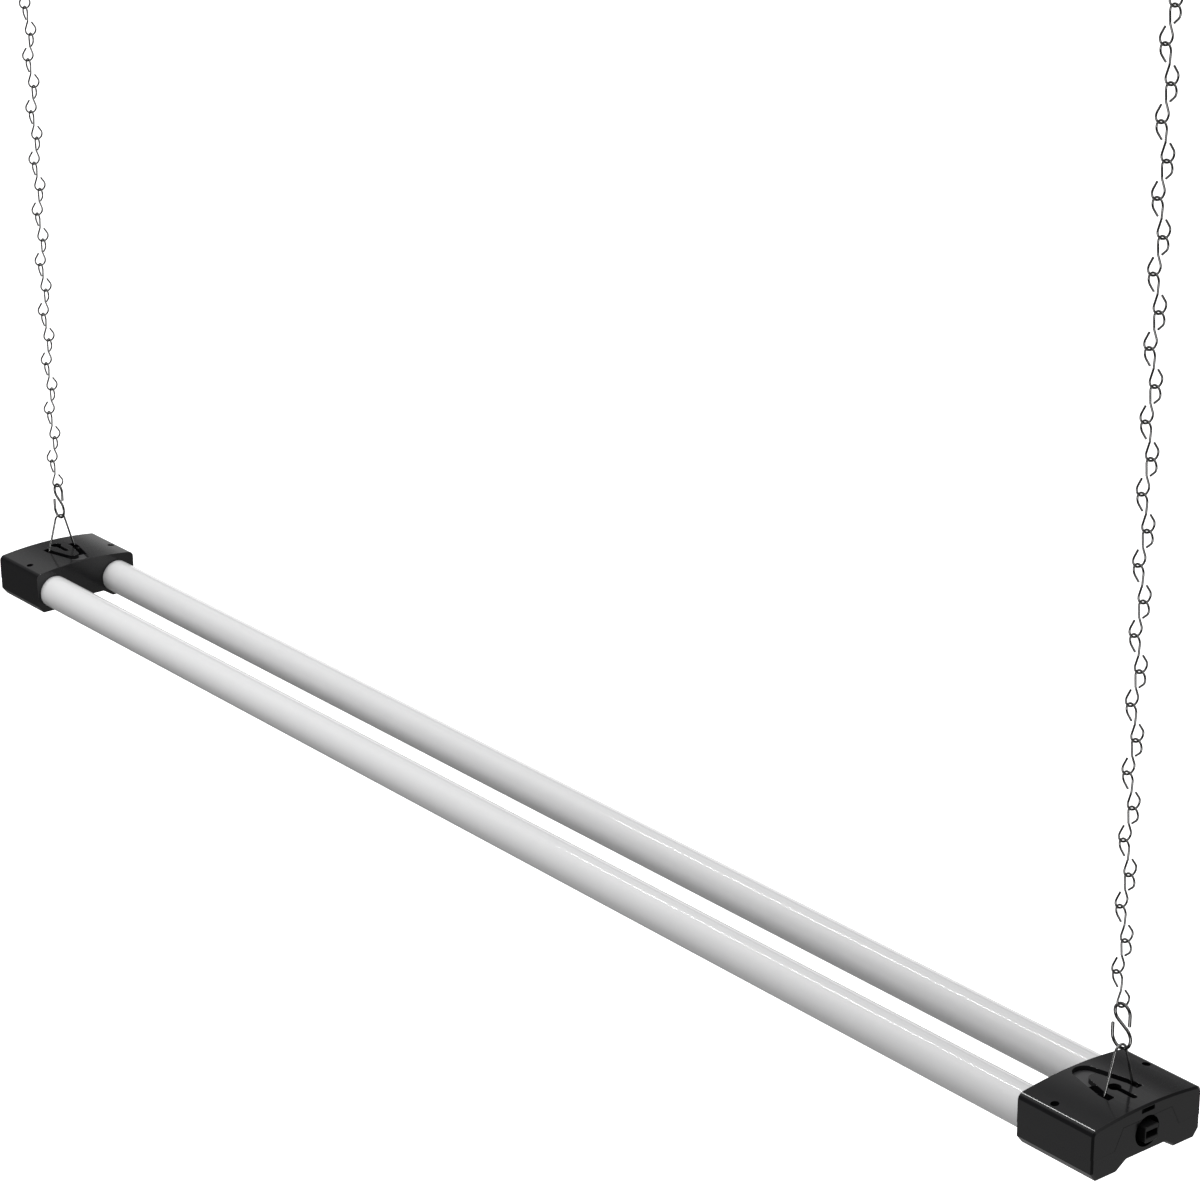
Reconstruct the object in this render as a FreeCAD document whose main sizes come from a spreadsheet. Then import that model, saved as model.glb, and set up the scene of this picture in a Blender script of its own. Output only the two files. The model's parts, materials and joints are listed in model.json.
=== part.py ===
"""Hanging shop light: two opal tubes between black end caps, hung on two jack chains.

Frame: origin on the ceiling, midway between the two ceiling hooks. +X runs along the tubes to the
near (outlet) cap, +Y across them, +Z up. Inside each cap and sub-part, heights are taken from the
tubes' axis, so "height" below always means millimetres above the plane of the two tube axes.
"""
import FreeCAD, Part
import Sketcher
import math
import os
import re

# ---------------------------------------------------------------------------------------------
# Driving sizes, in millimetres. Counts are plain numbers.
# ---------------------------------------------------------------------------------------------
SIZES = (
    # the caps
    ("overall_length", 1200.0, "outer face of one cap to outer face of the other"),
    ("cap_length", 58.5, "one cap along the tubes"),
    ("cap_half_width", 44.0, "middle of the cap to its side"),
    ("cap_wall", 2.0, "moulded wall"),
    ("seam_drop", 0.8, "parting line below the tube axis, along the sides"),
    ("shoulder_height", 13.6, "top of the flat side, where the corner radius starts"),
    ("corner_radius", 4.2, "long top corners of the cover"),
    ("corner_inset", 4.0, "width taken up by each top corner"),
    ("crown_edge_height", 17.5, "top surface at the corners"),
    ("crown_height", 20.2, "top surface on the middle line"),
    ("edge_bevel", 1.2, "bevelled rim of the outer end face"),
    ("lower_inset", 0.3, "how far the lower cover's sides stand back from the upper's"),
    ("lobe_depth", 15.0, "bottom of the two rounded troughs under the tubes"),
    ("lobe_outer_half", 39.4, "outer end of a trough's flat bottom"),
    ("lobe_inner_half", 23.6, "inner end of a trough's flat bottom"),
    ("chamfer_top_depth", 9.6, "where the slanted lower corner meets the side"),
    ("notch_depth", 9.7, "underside between the troughs"),
    ("notch_half", 15.5, "half width of the raised underside"),
    # the raised tongue of the lower cover in the end wall
    ("tongue_height", 11.9, "top of the tongue"),
    ("tongue_half_top", 19.5, "half width of its top"),
    ("tongue_half_foot", 26.0, "half width at the parting line"),
    ("seam_gap", 0.15, "clearance round the tongue"),
    # the latch slot and the socket opening in the end face
    ("latch_width", 10.3, "latch slot across"),
    ("latch_height", 2.8, "latch slot tall"),
    ("latch_bottom", 15.7, "height of its lower edge"),
    ("socket_hole_radius", 9.6, "round opening in the end face"),
    ("socket_height", 3.4, "centre of the opening and of the connector"),
    ("socket_width", 11.0, "connector shroud across"),
    ("socket_tall", 10.0, "connector shroud tall"),
    ("socket_corner", 1.4, "corner radius of the shroud"),
    ("socket_proud", 3.5, "shroud standing out of the end face"),
    ("socket_slot_width", 9.0, "rectangular opening of the shroud across"),
    ("socket_slot_tall", 4.4, "rectangular opening tall"),
    ("socket_slot_depth", 11.0, "depth of the opening"),
    ("socket_body_length", 17.0, "shroud from its mouth to its back"),
    ("flange_recess", 7.0, "flange behind the outer end face"),
    ("flange_thickness", 2.4, "flange that holds the connector"),
    ("flange_half_width", 12.5, "flange to each side"),
    ("flange_top_height", 13.6, "top edge of the flange"),
    ("contact_pitch", 4.2, "between the two contacts"),
    ("contact_width", 0.8, "contact blade across"),
    ("contact_tall", 2.2, "contact blade tall"),
    ("contact_length", 6.0, "contact blade in the opening"),
    ("contact_tail", 3.0, "contact tail behind the shroud"),
    # the folding wire bails and the channels they fold into
    ("bail_wire", 1.6, "bail wire diameter"),
    ("bail_pivot_from_end", 23.0, "pivot axis behind the outer end face"),
    ("bail_pivot_height", 16.4, "pivot axis above the tube axis"),
    ("bail_half_foot", 12.3, "leg to the middle at the pivot"),
    ("bail_half_top", 4.2, "leg to the middle below the top bend"),
    ("bail_nose_gap", 0.75, "folded bail to the channel's rounded nose"),
    ("bail_top_rise", 3.2, "top bend above the legs' upper ends"),
    ("bail_foot_length", 4.6, "foot from the leg outwards"),
    ("pivot_clearance", 0.1, "radial clearance of a foot in its hole"),
    ("foot_end_clearance", 0.4, "end play of a foot in its blind hole"),
    ("channel_half_width", 14.0, "outer wall of the channel beside the pivot"),
    ("channel_outer_end", 5.6, "channel past the pivot, towards the end face"),
    ("channel_straight", 1.5, "straight outer wall inboard of the pivot"),
    ("channel_nose_margin", 2.15, "rounded nose to the cap's inner face"),
    ("channel_neck_half", 7.3, "half width where the rounded nose starts"),
    ("channel_nose_radius", 8.3, "rounded nose"),
    ("island_half_width", 8.8, "island beside the pivot"),
    ("island_tip_reach", 19.0, "pivot to the start of the island's rounded tip"),
    ("island_tip_half", 4.2, "half width there"),
    ("island_tip_radius", 4.6, "rounded tip"),
    ("channel_height", 11.6, "floor of the two legs"),
    ("nose_height", 17.0, "floor of the shallow finger nose"),
    ("deep_reach", 16.0, "pivot to the inner end of the deep legs"),
    ("pod_floor", 1.8, "thickness under the channel"),
    ("pod_half_width", 18.2, "moulded pod under the channel, beside the pivot"),
    ("pod_nose_half", 9.5, "pod at the cap's inner wall"),
    ("pod_outer_end", 8.0, "pod past the pivot, towards the end face"),
    ("pod_straight", 8.0, "full width of the pod inboard of the pivot"),
    # the keyholes for screws in a ceiling or wall
    ("near_keyhole_from_end", 26.25, "near cap's round end behind the outer end face"),
    ("far_keyhole_from_end", 14.75, "far cap's round end behind the outer end face"),
    ("keyhole_head_radius", 4.0, "round end"),
    ("keyhole_slot_width", 3.6, "narrow end"),
    ("keyhole_reach", 17.5, "centre of the round end to the end of the slot"),
    ("keyhole_lip", 2.4, "thickness of the plastic that the screw head hooks behind"),
    ("keyhole_relief", 0.8, "free space round a screw head under the lip"),
    # the screws that hold the two covers together
    ("screw_post_gap", 2.2, "tube plug to the side of a screw post"),
    ("screw_half_spacing", 37.0, "cover screw to the middle"),
    ("screw_well_radius", 2.6, "round well above the screw head"),
    ("screw_well_depth", 4.0, "well under the top surface at the crown's edge"),
    ("screw_head_radius", 2.4, "pan head"),
    ("screw_head_height", 1.8, "pan head"),
    ("screw_radius", 1.4, "shank"),
    ("screw_length", 18.0, "shank under the head"),
    ("screw_clearance", 0.1, "radial clearance of the shank"),
    ("post_half", 3.6, "half the side of a square screw post"),
    # the tubes
    ("tube_spacing", 56.6, "axis to axis"),
    ("tube_diameter", 25.6, "opal tube outside"),
    ("tube_wall", 1.2, "opal tube wall"),
    ("tube_insertion", 15.0, "tube inside a cap"),
    ("tube_clearance", 0.2, "radial clearance in the cap's opening"),
    ("plug_depth", 5.0, "plug inside the tube"),
    ("plug_flange", 1.2, "plug flange outside the tube"),
    ("plug_clearance", 0.1, "radial clearance of the plug in the tube"),
    ("plug_wire_hole", 4.0, "radius of the plug's wire hole"),
    ("board_width", 11.0, "LED board across"),
    ("board_thickness", 1.2, "LED board"),
    ("board_height", 3.6, "underside of the LED board above the tube axis"),
    ("board_end_gap", 7.0, "board end short of the tube end"),
    ("led_pitch", 72.0, "between LED packages"),
    ("led_length", 3.5, "LED package along the tube"),
    ("led_width", 2.8, "LED package across"),
    ("led_thickness", 0.8, "LED package"),
    ("sink_clearance", 0.2, "heat sink inside the tube wall"),
    ("sink_wall", 1.0, "heat sink wall"),
    ("sink_base", 1.4, "heat sink base on the board"),
    # the driver in the far cap
    ("driver_from_end", 14.5, "driver board's outer edge behind the end face"),
    ("driver_tube_gap", 5.8, "tube plug to the driver board"),
    ("driver_width", 62.0, "driver board across"),
    ("driver_thickness", 1.6, "driver board"),
    ("driver_drop", 4.4, "top of the driver board below the tube axis"),
    ("board_gap", 0.1, "between seated boards and what carries them"),
    ("board_post_size", 5.0, "square posts under the driver board"),
    ("capacitor_radius", 4.0, "round output capacitor"),
    ("capacitor_height", 11.0, "both driver capacitors"),
    ("film_width", 6.0, "box-shaped input capacitor across"),
    ("film_length", 12.0, "box-shaped input capacitor along"),
    ("part_spacing", 2.0, "between the parts on the driver board"),
    ("transformer_width", 16.0, "driver transformer across"),
    ("transformer_length", 12.0, "driver transformer along"),
    ("transformer_height", 11.0, "driver transformer"),
    ("lead_diameter", 1.4, "insulated leads"),
    ("lead_spread", 2.4, "between two leads side by side"),
    ("lead_gap", 0.1, "lead end to what it is soldered to"),
    ("lead_straight", 0.85, "supply lead from the contact to its bend"),
    # stops and ribs in the lower covers
    ("stop_gap", 0.3, "tube plug to its stop"),
    ("stop_thickness", 1.6, "tube stop"),
    ("stop_width", 9.0, "tube stop across"),
    ("stop_height", 6.0, "tube stop above the trough's floor"),
    ("rib_thickness", 1.4, "ribs that hold the connector's flange"),
    ("rib_half_width", 11.0, "ribs to each side"),
    ("rib_height", 4.0, "ribs above the floor"),
    ("flange_gap", 0.15, "flange between its ribs"),
    # the hooks
    ("hook_wire", 2.0, "S-hook wire diameter"),
    ("hook_lower_radius", 6.9, "lower bowl of an S-hook, centre line"),
    ("hook_upper_radius", 5.7, "upper bowl of an S-hook, centre line"),
    ("hook_height", 27.4, "top to bottom of an S-hook, centre line"),
    ("hook_tip", 6.5, "straight tips past the bowls"),
    ("ceiling_wire", 3.2, "ceiling hook wire diameter"),
    ("ceiling_hook_drop", 24.0, "ceiling to the bottom of the bowl's centre line"),
    ("ceiling_bowl_radius", 6.0, "bowl of a ceiling hook, centre line"),
    ("ceiling_shank", 2.0, "straight round shank below the ceiling"),
    ("ceiling_thread_length", 16.0, "thread in the ceiling"),
    ("hang_clearance", 0.2, "between wires that hang in one another"),
    # the chains
    ("link_count", 30, "links in each chain"),
    ("link_wire", 1.3, "link wire diameter"),
    ("link_height", 21.57, "link from top to bottom, centre line"),
    ("link_clearance", 0.2, "between two linked wires"),
    ("link_loop_radius", 4.15, "both loops of a link, centre line"),
    ("link_upper_offset", 3.6, "upper loop's centre beside the spine"),
    ("link_lower_offset", 2.0, "lower loop's centre beside the spine"),
    ("link_end_gap", 3.0, "open wire end beside the spine"),
    ("link_loop_sweep", 240.0, "degrees that each loop goes round"),
    ("link_turn", -8.0, "degrees that the chain is turned about the vertical"),
)

NEAR = 1
FAR = -1
# How many sides stand for a round wire or a small round hole.
LINK_SIDES = 4
LEAD_SIDES = 5
HOOK_SIDES = 6
BAIL_SIDES = 8
PLUG_SIDES = 16
WELL_SIDES = 24
HOLE_SIDES = 12

# Points nearer than this lie in one plane.
TOUCH = 0.001

doc = FreeCAD.newDocument("shop_light")
sheet = doc.addObject("Spreadsheet::Sheet", "sizes")
for row, (alias, number, meaning) in enumerate(SIZES, start=1):
    sheet.set("A%d" % row, str(number))
    sheet.setAlias("A%d" % row, alias)
    sheet.set("B%d" % row, meaning)
doc.recompute()

ALIASES = sorted((alias for alias, number, meaning in SIZES), key=len, reverse=True)
ALIAS_PATTERN = re.compile(r"\b(" + "|".join(ALIASES) + r")\b")
parts = []


# ---------------------------------------------------------------------------------------------
# Working with the sheet
# ---------------------------------------------------------------------------------------------
def size(alias):
    """The number in the sheet under this alias."""
    return float(sheet.get(alias))


def bound(expression):
    """An expression with each alias written as a reference to the sheet."""
    return ALIAS_PATTERN.sub(r"sizes.\1", str(expression))


def value(expression):
    """What an expression in sheet aliases comes to now."""
    return float(sheet.evalExpression(str(expression)))


def bind(item, **properties):
    """Tie properties to expressions in sheet aliases."""
    for name, expression in properties.items():
        item.setExpression(name, bound(expression))


def place(item, x="0", y="0", z="0"):
    """Tie the place of a sub-part or primitive to expressions."""
    item.setExpression("Placement.Base.x", bound(x))
    item.setExpression("Placement.Base.y", bound(y))
    item.setExpression("Placement.Base.z", bound(z))


def keep(item, label):
    """Name a finished sub-part and put it on the list that is written out."""
    item.Label = label
    parts.append(item)
    return item


# The suspension, from the ceiling down: each wire rests on the one it hangs in.
LINK_PITCH = "(link_height - link_wire - link_clearance)"
UPPER_HOOK_TOP = "(-ceiling_hook_drop + (ceiling_wire + hook_wire) / 2 + hang_clearance)"
UPPER_HOOK_BOTTOM = "(%s - hook_height)" % UPPER_HOOK_TOP
CHAIN_TOP = "(%s + (hook_wire + link_wire) / 2 + hang_clearance)" % UPPER_HOOK_BOTTOM
CHAIN_BOTTOM = "(%s - (link_count - 1) * %s - link_height)" % (CHAIN_TOP, LINK_PITCH)
LOWER_HOOK_TOP = "(%s + (hook_wire + link_wire) / 2 + hang_clearance)" % CHAIN_BOTTOM
LOWER_HOOK_BOTTOM = "(%s - hook_height)" % LOWER_HOOK_TOP
BAIL_TOP = "(%s + (hook_wire + bail_wire) / 2 + hang_clearance)" % LOWER_HOOK_BOTTOM
BAIL_HEIGHT = "(cap_length - bail_pivot_from_end - channel_nose_margin - bail_nose_gap - bail_wire / 2)"
TUBE_AXIS = "(%s - %s - bail_pivot_height)" % (BAIL_TOP, BAIL_HEIGHT)

# Distances from the middle of the light, along the tubes.
END = "(overall_length / 2)"
INNER_FACE = "(%s - cap_length)" % END
PIVOT = "(%s - bail_pivot_from_end)" % END
TUBE_END = "(%s + tube_insertion)" % INNER_FACE
PLUG_FACE = "(%s + plug_flange)" % TUBE_END
SCREW = "(%s + screw_post_gap + post_half)" % PLUG_FACE
KEYHOLE = {NEAR: "(%s - near_keyhole_from_end)" % END, FAR: "(%s - far_keyhole_from_end)" % END}
FLANGE = "(%s - flange_recess)" % END
DRIVER_OUTER = "(%s - driver_from_end)" % END
DRIVER_INNER = "(%s + driver_tube_gap)" % PLUG_FACE
DRIVER_LENGTH = "(%s - %s)" % (DRIVER_OUTER, DRIVER_INNER)
NOSE_RISE = "(channel_nose_radius - sqrt(channel_nose_radius ^ 2 - channel_neck_half ^ 2))"
NECK = "(%s + channel_nose_margin + %s)" % (INNER_FACE, NOSE_RISE)
BOARD_TOP = "(board_height + board_thickness)"


# ---------------------------------------------------------------------------------------------
# Sketches whose every point is tied to the sheet
# ---------------------------------------------------------------------------------------------
def new_body(name, label):
    """A body whose own zero height is the tubes' axis."""
    body = doc.addObject("PartDesign::Body", name)
    place(body, z=TUBE_AXIS)
    return keep(body, label)


def new_sketch(body, name, plane, offset="0"):
    """A sketch on one of the body's own planes, moved along the plane's normal."""
    sketch = body.newObject("Sketcher::SketchObject", name)
    support = [item for item in body.Origin.OriginFeatures if item.Role == plane][0]
    sketch.AttachmentSupport = [(support, "")]
    sketch.MapMode = "FlatFace"
    sketch.setExpression("AttachmentOffset.Base.z", bound(offset))
    return sketch


def pin_point(sketch, edge, end, point):
    """Tie one end of a sketch edge to two coordinates."""
    for kind, coordinate in zip(("DistanceX", "DistanceY"), point):
        constraint = Sketcher.Constraint(kind, -1, 1, edge, end, value(coordinate))
        index = sketch.addConstraint(constraint)
        sketch.setExpression("Constraints[%d]" % index, bound(coordinate))


def arc_between(start, finish, radius, turn):
    """A short arc between two points; turn is 1 for anticlockwise, -1 for clockwise."""
    chord = finish - start
    half = chord.Length / 2
    across = FreeCAD.Vector(-chord.y, chord.x, 0).normalize() * turn
    centre = (start + finish) / 2 + across * math.sqrt(radius ** 2 - half ** 2)
    middle = centre - across * radius
    return Part.Arc(start, middle, finish) if turn > 0 else Part.Arc(finish, middle, start)


def outline(sketch, steps):
    """A closed outline. A step is (x, y) for a straight edge to that point, or
    (x, y, radius, turn) for an arc to it. The first step is the starting point."""
    points = [FreeCAD.Vector(value(step[0]), value(step[1]), 0) for step in steps]
    following = list(range(1, len(steps))) + [0]
    ends = []
    for index, after in enumerate(following):
        step = steps[after]
        if len(step) == 2:
            edge = sketch.addGeometry(Part.LineSegment(points[index], points[after]))
            ends.append((edge, 1, 2))
            continue
        turn = step[3]
        arc = arc_between(points[index], points[after], value(step[2]), turn)
        edge = sketch.addGeometry(arc)
        ends.append((edge, 1, 2) if turn > 0 else (edge, 2, 1))
    for index, after in enumerate(following):
        edge, start_end, finish_end = ends[index]
        next_edge, next_start_end = ends[after][:2]
        pin_point(sketch, edge, start_end, steps[index][:2])
        sketch.addConstraint(
            Sketcher.Constraint("Coincident", edge, finish_end, next_edge, next_start_end))
        if len(steps[after]) > 2:
            radius = Sketcher.Constraint("Radius", edge, value(steps[after][2]))
            number = sketch.addConstraint(radius)
            sketch.setExpression("Constraints[%d]" % number, bound(steps[after][2]))


def circle(sketch, x, y, radius):
    """A circle whose centre and radius are tied to the sheet."""
    middle = FreeCAD.Vector(value(x), value(y), 0)
    edge = sketch.addGeometry(Part.Circle(middle, FreeCAD.Vector(0, 0, 1), value(radius)))
    pin_point(sketch, edge, 3, (x, y))
    number = sketch.addConstraint(Sketcher.Constraint("Radius", edge, value(radius)))
    sketch.setExpression("Constraints[%d]" % number, bound(radius))


def many_sided_hole(sketch, x, y, radius, sides):
    """A small round hole as a regular polygon drawn round its circle."""
    step = 360.0 / sides
    reach = "(%s) / cos(%g deg)" % (radius, step / 2)
    outline(sketch, [
        ("%s + %s * cos(%g deg)" % (x, reach, step * corner), "%s + %s * sin(%g deg)" % (y, reach, step * corner))
        for corner in range(sides)])


def square(sketch, x, y, half):
    """A square about its middle."""
    rectangle(sketch, ("%s - %s" % (x, half), "%s - %s" % (y, half)), ("%s + %s" % (x, half), "%s + %s" % (y, half)))


def rectangle(sketch, low, high):
    """An upright rectangle from its low corner to its high corner."""
    outline(sketch, [low, (high[0], low[1]), high, (low[0], high[1])])


def extrude(body, kind, sketch, length, reverse=False):
    """A pad or pocket of the given length, checked to have added or removed material."""
    before = body.Shape.Volume if body.Tip else 0.0
    feature = body.newObject("PartDesign::" + kind, sketch.Name + "_" + kind.lower())
    feature.Profile = sketch
    feature.Reversed = reverse
    feature.setExpression("Length", bound(length))
    sketch.Visibility = False
    doc.recompute()
    change = body.Shape.Volume - before
    if (kind == "Pad") != (change > 0) or abs(change) < 1e-6:
        raise RuntimeError("%s changed the volume by %.4f" % (feature.Name, change))
    return feature


# ---------------------------------------------------------------------------------------------
# The end caps. X runs along the tubes; a cap at the far end is the near one mirrored, except that
# both keyholes point the same way.
# ---------------------------------------------------------------------------------------------
def station(side, distance):
    """A distance from the middle of the light, as a signed position on X."""
    return distance if side == NEAR else "-(%s)" % distance


def upper_outline(inset):
    """The upper cover's section: flat sides, rounded corners and a crowned top. Inside, the corners
    are cut straight and the ceiling rises in two straight slopes."""
    half = "(cap_half_width - %s)" % inset
    knee = "(cap_half_width - corner_inset)"
    top = "(crown_edge_height - %s)" % inset
    rise = "(crown_height - crown_edge_height)"
    crown = "((%s ^ 2 + %s ^ 2) / (2 * %s))" % (knee, rise, rise)
    foot = "(-seam_drop - %s)" % inset
    side_steps = [("-" + half, foot), (half, foot), (half, "shoulder_height")]
    if inset == "0":
        return side_steps + [
            (knee, top, "corner_radius", 1),
            ("-" + knee, top, crown, 1),
            ("-" + half, "shoulder_height", "corner_radius", 1),
        ]
    ridge = "(crown_height - %s)" % inset
    return side_steps + [(knee, top), ("0", ridge), ("-" + knee, top), ("-" + half, "shoulder_height")]


def lower_outline(inset):
    """The lower cover's section: a trough under each tube and a raised middle."""
    half = "(cap_half_width - lower_inset - %s)" % inset
    outer = "(lobe_outer_half - %s * 0.4)" % inset
    inner = "(lobe_inner_half + %s * 0.4)" % inset
    notch = "(notch_half + %s * 0.45)" % inset
    bottom = "(%s - lobe_depth)" % inset
    middle = "(%s - notch_depth)" % inset
    corner = "(%s * 0.4 - chamfer_top_depth)" % inset
    top = "-seam_drop" if inset == "0" else "(cap_wall - seam_drop)"
    return [
        (half, top),
        ("-" + half, top),
        ("-" + half, corner),
        ("-" + outer, bottom),
        ("-" + inner, bottom),
        ("-" + notch, middle),
        (notch, middle),
        (inner, bottom),
        (outer, bottom),
        (half, corner),
    ]


def tongue_outline(grow, foot):
    """The raised tongue of the lower cover in the end wall."""
    return [
        ("-(tongue_half_foot + %s)" % grow, foot),
        ("tongue_half_foot + %s" % grow, foot),
        ("tongue_half_foot + %s" % grow, "-seam_drop + %s" % grow),
        ("tongue_half_top + %s" % grow, "tongue_height + %s" % grow),
        ("-(tongue_half_top + %s)" % grow, "tongue_height + %s" % grow),
        ("-(tongue_half_foot + %s)" % grow, "-seam_drop + %s" % grow),
    ]


def channel_outline(side):
    """The chevron channel round its island, from above, with its nose towards the tubes."""
    outer_end = station(side, "(%s + channel_outer_end)" % PIVOT)
    bend = station(side, "(%s - channel_straight)" % PIVOT)
    neck = station(side, NECK)
    tip = station(side, "(%s - island_tip_reach)" % PIVOT)
    return [
        (outer_end, "-channel_half_width"),
        (outer_end, "-island_half_width"),
        (bend, "-island_half_width"),
        (tip, "-island_tip_half"),
        (tip, "island_tip_half", "island_tip_radius", -side),
        (bend, "island_half_width"),
        (outer_end, "island_half_width"),
        (outer_end, "channel_half_width"),
        (bend, "channel_half_width"),
        (neck, "channel_neck_half"),
        (neck, "-channel_neck_half", "channel_nose_radius", side),
        (bend, "-channel_half_width"),
    ]


def deep_leg_outline(side, hand):
    """The deep part of the channel that one leg of the bail stands in; hand is 1 or -1 for +Y or -Y."""
    def taper(wide, narrow, reach):
        slope = "(%s - %s) / (%s - channel_straight)" % (wide, narrow, reach)
        return "(%s - %s * (deep_reach - channel_straight))" % (wide, slope)
    outer_end = station(side, "(%s + channel_outer_end)" % PIVOT)
    bend = station(side, "(%s - channel_straight)" % PIVOT)
    inner_end = station(side, "(%s - deep_reach)" % PIVOT)
    island = taper("island_half_width", "island_tip_half", "island_tip_reach")
    wall = taper("channel_half_width", "channel_neck_half", "(%s - %s)" % (PIVOT, NECK))
    steps = [
        (outer_end, "island_half_width"),
        (bend, "island_half_width"),
        (inner_end, island),
        (inner_end, wall),
        (bend, "channel_half_width"),
        (outer_end, "channel_half_width"),
    ]
    return [(x, "%d * %s" % (hand, y)) for x, y in steps]


def pod_outline(side):
    """The moulded pod under the top wall that holds the channel and the bail's pivots."""
    outer_end = station(side, "(%s + pod_outer_end)" % PIVOT)
    bend = station(side, "(%s - pod_straight)" % PIVOT)
    inner_end = station(side, "(%s + cap_wall / 2)" % INNER_FACE)
    return [
        (outer_end, "-pod_half_width"),
        (outer_end, "pod_half_width"),
        (bend, "pod_half_width"),
        (inner_end, "pod_nose_half"),
        (inner_end, "-pod_nose_half"),
        (bend, "-pod_half_width"),
    ]


def bevel_rim(body, name, side):
    """Bevel the rim of the outer end face, but not the parting line."""
    parting_height = value("-seam_drop")
    plane = side * value(END)
    names = []
    for number, edge in enumerate(body.Tip.Shape.Edges, start=1):
        ends = [vertex.Point for vertex in edge.Vertexes]
        middle = edge.valueAt((edge.FirstParameter + edge.LastParameter) / 2)
        if all(abs(point.x - plane) < TOUCH for point in ends + [middle]):
            if abs(middle.z - parting_height) > TOUCH:
                names.append("Edge%d" % number)
    chamfer = body.newObject("PartDesign::Chamfer", name + "_rim")
    chamfer.Base = (chamfer.BaseFeature, names)
    chamfer.setExpression("Size", bound("edge_bevel"))
    doc.recompute()


def upper_cover(side, label):
    """The upper cover of one cap: crowned shell, channel, keyhole, screw posts and end wall."""
    body = new_body(label, label)
    outward = side == FAR

    section = new_sketch(body, label + "_section", "YZ_Plane", station(side, INNER_FACE))
    outline(section, upper_outline("0"))
    extrude(body, "Pad", section, "cap_length", reverse=outward)
    bevel_rim(body, label, side)

    cavity = new_sketch(body, label + "_cavity", "YZ_Plane", station(side, "(%s + cap_wall)" % INNER_FACE))
    outline(cavity, upper_outline("cap_wall"))
    extrude(body, "Pocket", cavity, "cap_length - 2 * cap_wall", reverse=not outward)

    pod = new_sketch(body, label + "_pod", "XY_Plane", "channel_height - pod_floor")
    outline(pod, pod_outline(side))
    extrude(body, "Pad", pod, "crown_height - cap_wall * 0.8 - channel_height + pod_floor")

    posts = new_sketch(body, label + "_posts", "XY_Plane", "-seam_drop")
    for hand in (1, -1):
        square(posts, station(side, SCREW), "%d * screw_half_spacing" % hand, "post_half")
    extrude(body, "Pad", posts, "seam_drop + crown_edge_height - cap_wall * 0.7")

    channel = new_sketch(body, label + "_channel", "XY_Plane", "crown_height + 1")
    outline(channel, channel_outline(side))
    extrude(body, "Pocket", channel, "crown_height + 1 - nose_height")
    legs = new_sketch(body, label + "_legs", "XY_Plane", "crown_height + 1")
    for hand in (1, -1):
        outline(legs, deep_leg_outline(side, hand))
    extrude(body, "Pocket", legs, "crown_height + 1 - channel_height")

    for hand in (1, -1):
        start = "%d * (channel_half_width - cap_wall / 4)" % -hand
        pivot = new_sketch(body, "%s_pivot_%s" % (label, "a" if hand > 0 else "b"), "XZ_Plane", start)
        many_sided_hole(
            pivot, station(side, PIVOT), "bail_pivot_height", "bail_wire / 2 + pivot_clearance", HOLE_SIDES)
        depth = "bail_half_foot + bail_foot_length + foot_end_clearance - channel_half_width + cap_wall / 4"
        extrude(body, "Pocket", pivot, depth, reverse=hand < 0)

    keyhole_features(body, label, side)
    end_wall_openings(body, label, side)
    tube_openings(body, label, side)

    latch = new_sketch(body, label + "_latch", "YZ_Plane", station(side, "(%s + 1)" % END))
    rectangle(latch, ("-latch_width / 2", "latch_bottom"), ("latch_width / 2", "latch_bottom + latch_height"))
    extrude(body, "Pocket", latch, "cap_wall + 2", reverse=outward)

    wells = new_sketch(body, label + "_wells", "XY_Plane", "crown_height + 1")
    shanks = new_sketch(body, label + "_shanks", "XY_Plane", "-seam_drop - 1")
    for hand in (1, -1):
        spot = (station(side, SCREW), "%d * screw_half_spacing" % hand)
        many_sided_hole(wells, spot[0], spot[1], "screw_well_radius", WELL_SIDES)
        many_sided_hole(shanks, spot[0], spot[1], "screw_radius + screw_clearance", HOLE_SIDES)
    extrude(body, "Pocket", wells, "crown_height + 1 - crown_edge_height + screw_well_depth")
    extrude(body, "Pocket", shanks, "crown_edge_height + seam_drop + 1", reverse=True)
    return body


def keyhole_features(body, label, side):
    """The keyhole through the island, whose slot points to +X, and the head room under its lip."""
    middle = station(side, KEYHOLE[side])
    slot_end = "(%s + keyhole_reach)" % middle
    reach = "(keyhole_head_radius + keyhole_relief)"
    room = new_sketch(body, label + "_head_room", "XY_Plane", "channel_height - pod_floor - 1")
    rectangle(room, ("%s - %s" % (middle, reach), "-" + reach), ("%s + keyhole_relief" % slot_end, reach))
    extrude(body, "Pocket", room, "crown_height - keyhole_lip - channel_height + pod_floor + 1", reverse=True)

    round_end = new_sketch(body, label + "_keyhole", "XY_Plane", "crown_height + 1")
    circle(round_end, middle, "0", "keyhole_head_radius")
    extrude(body, "Pocket", round_end, "keyhole_lip + 2")
    slot = new_sketch(body, label + "_slot", "XY_Plane", "crown_height + 1")
    outline(slot, [
        (middle, "-keyhole_slot_width / 2"),
        ("%s - keyhole_slot_width / 2" % slot_end, "-keyhole_slot_width / 2"),
        ("%s - keyhole_slot_width / 2" % slot_end, "keyhole_slot_width / 2", "keyhole_slot_width * 0.55", 1),
        (middle, "keyhole_slot_width / 2"),
    ])
    extrude(body, "Pocket", slot, "keyhole_lip + 2")


def end_wall_openings(body, label, side):
    """The room for the lower cover's tongue, and the round socket opening that nicks the upper cover."""
    tongue = new_sketch(body, label + "_tongue", "YZ_Plane", station(side, "(%s + 1)" % END))
    outline(tongue, tongue_outline("seam_gap", "-seam_drop - cap_wall"))
    extrude(body, "Pocket", tongue, "cap_wall + 2", reverse=side == FAR)
    socket_opening(body, label, side)


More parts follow.
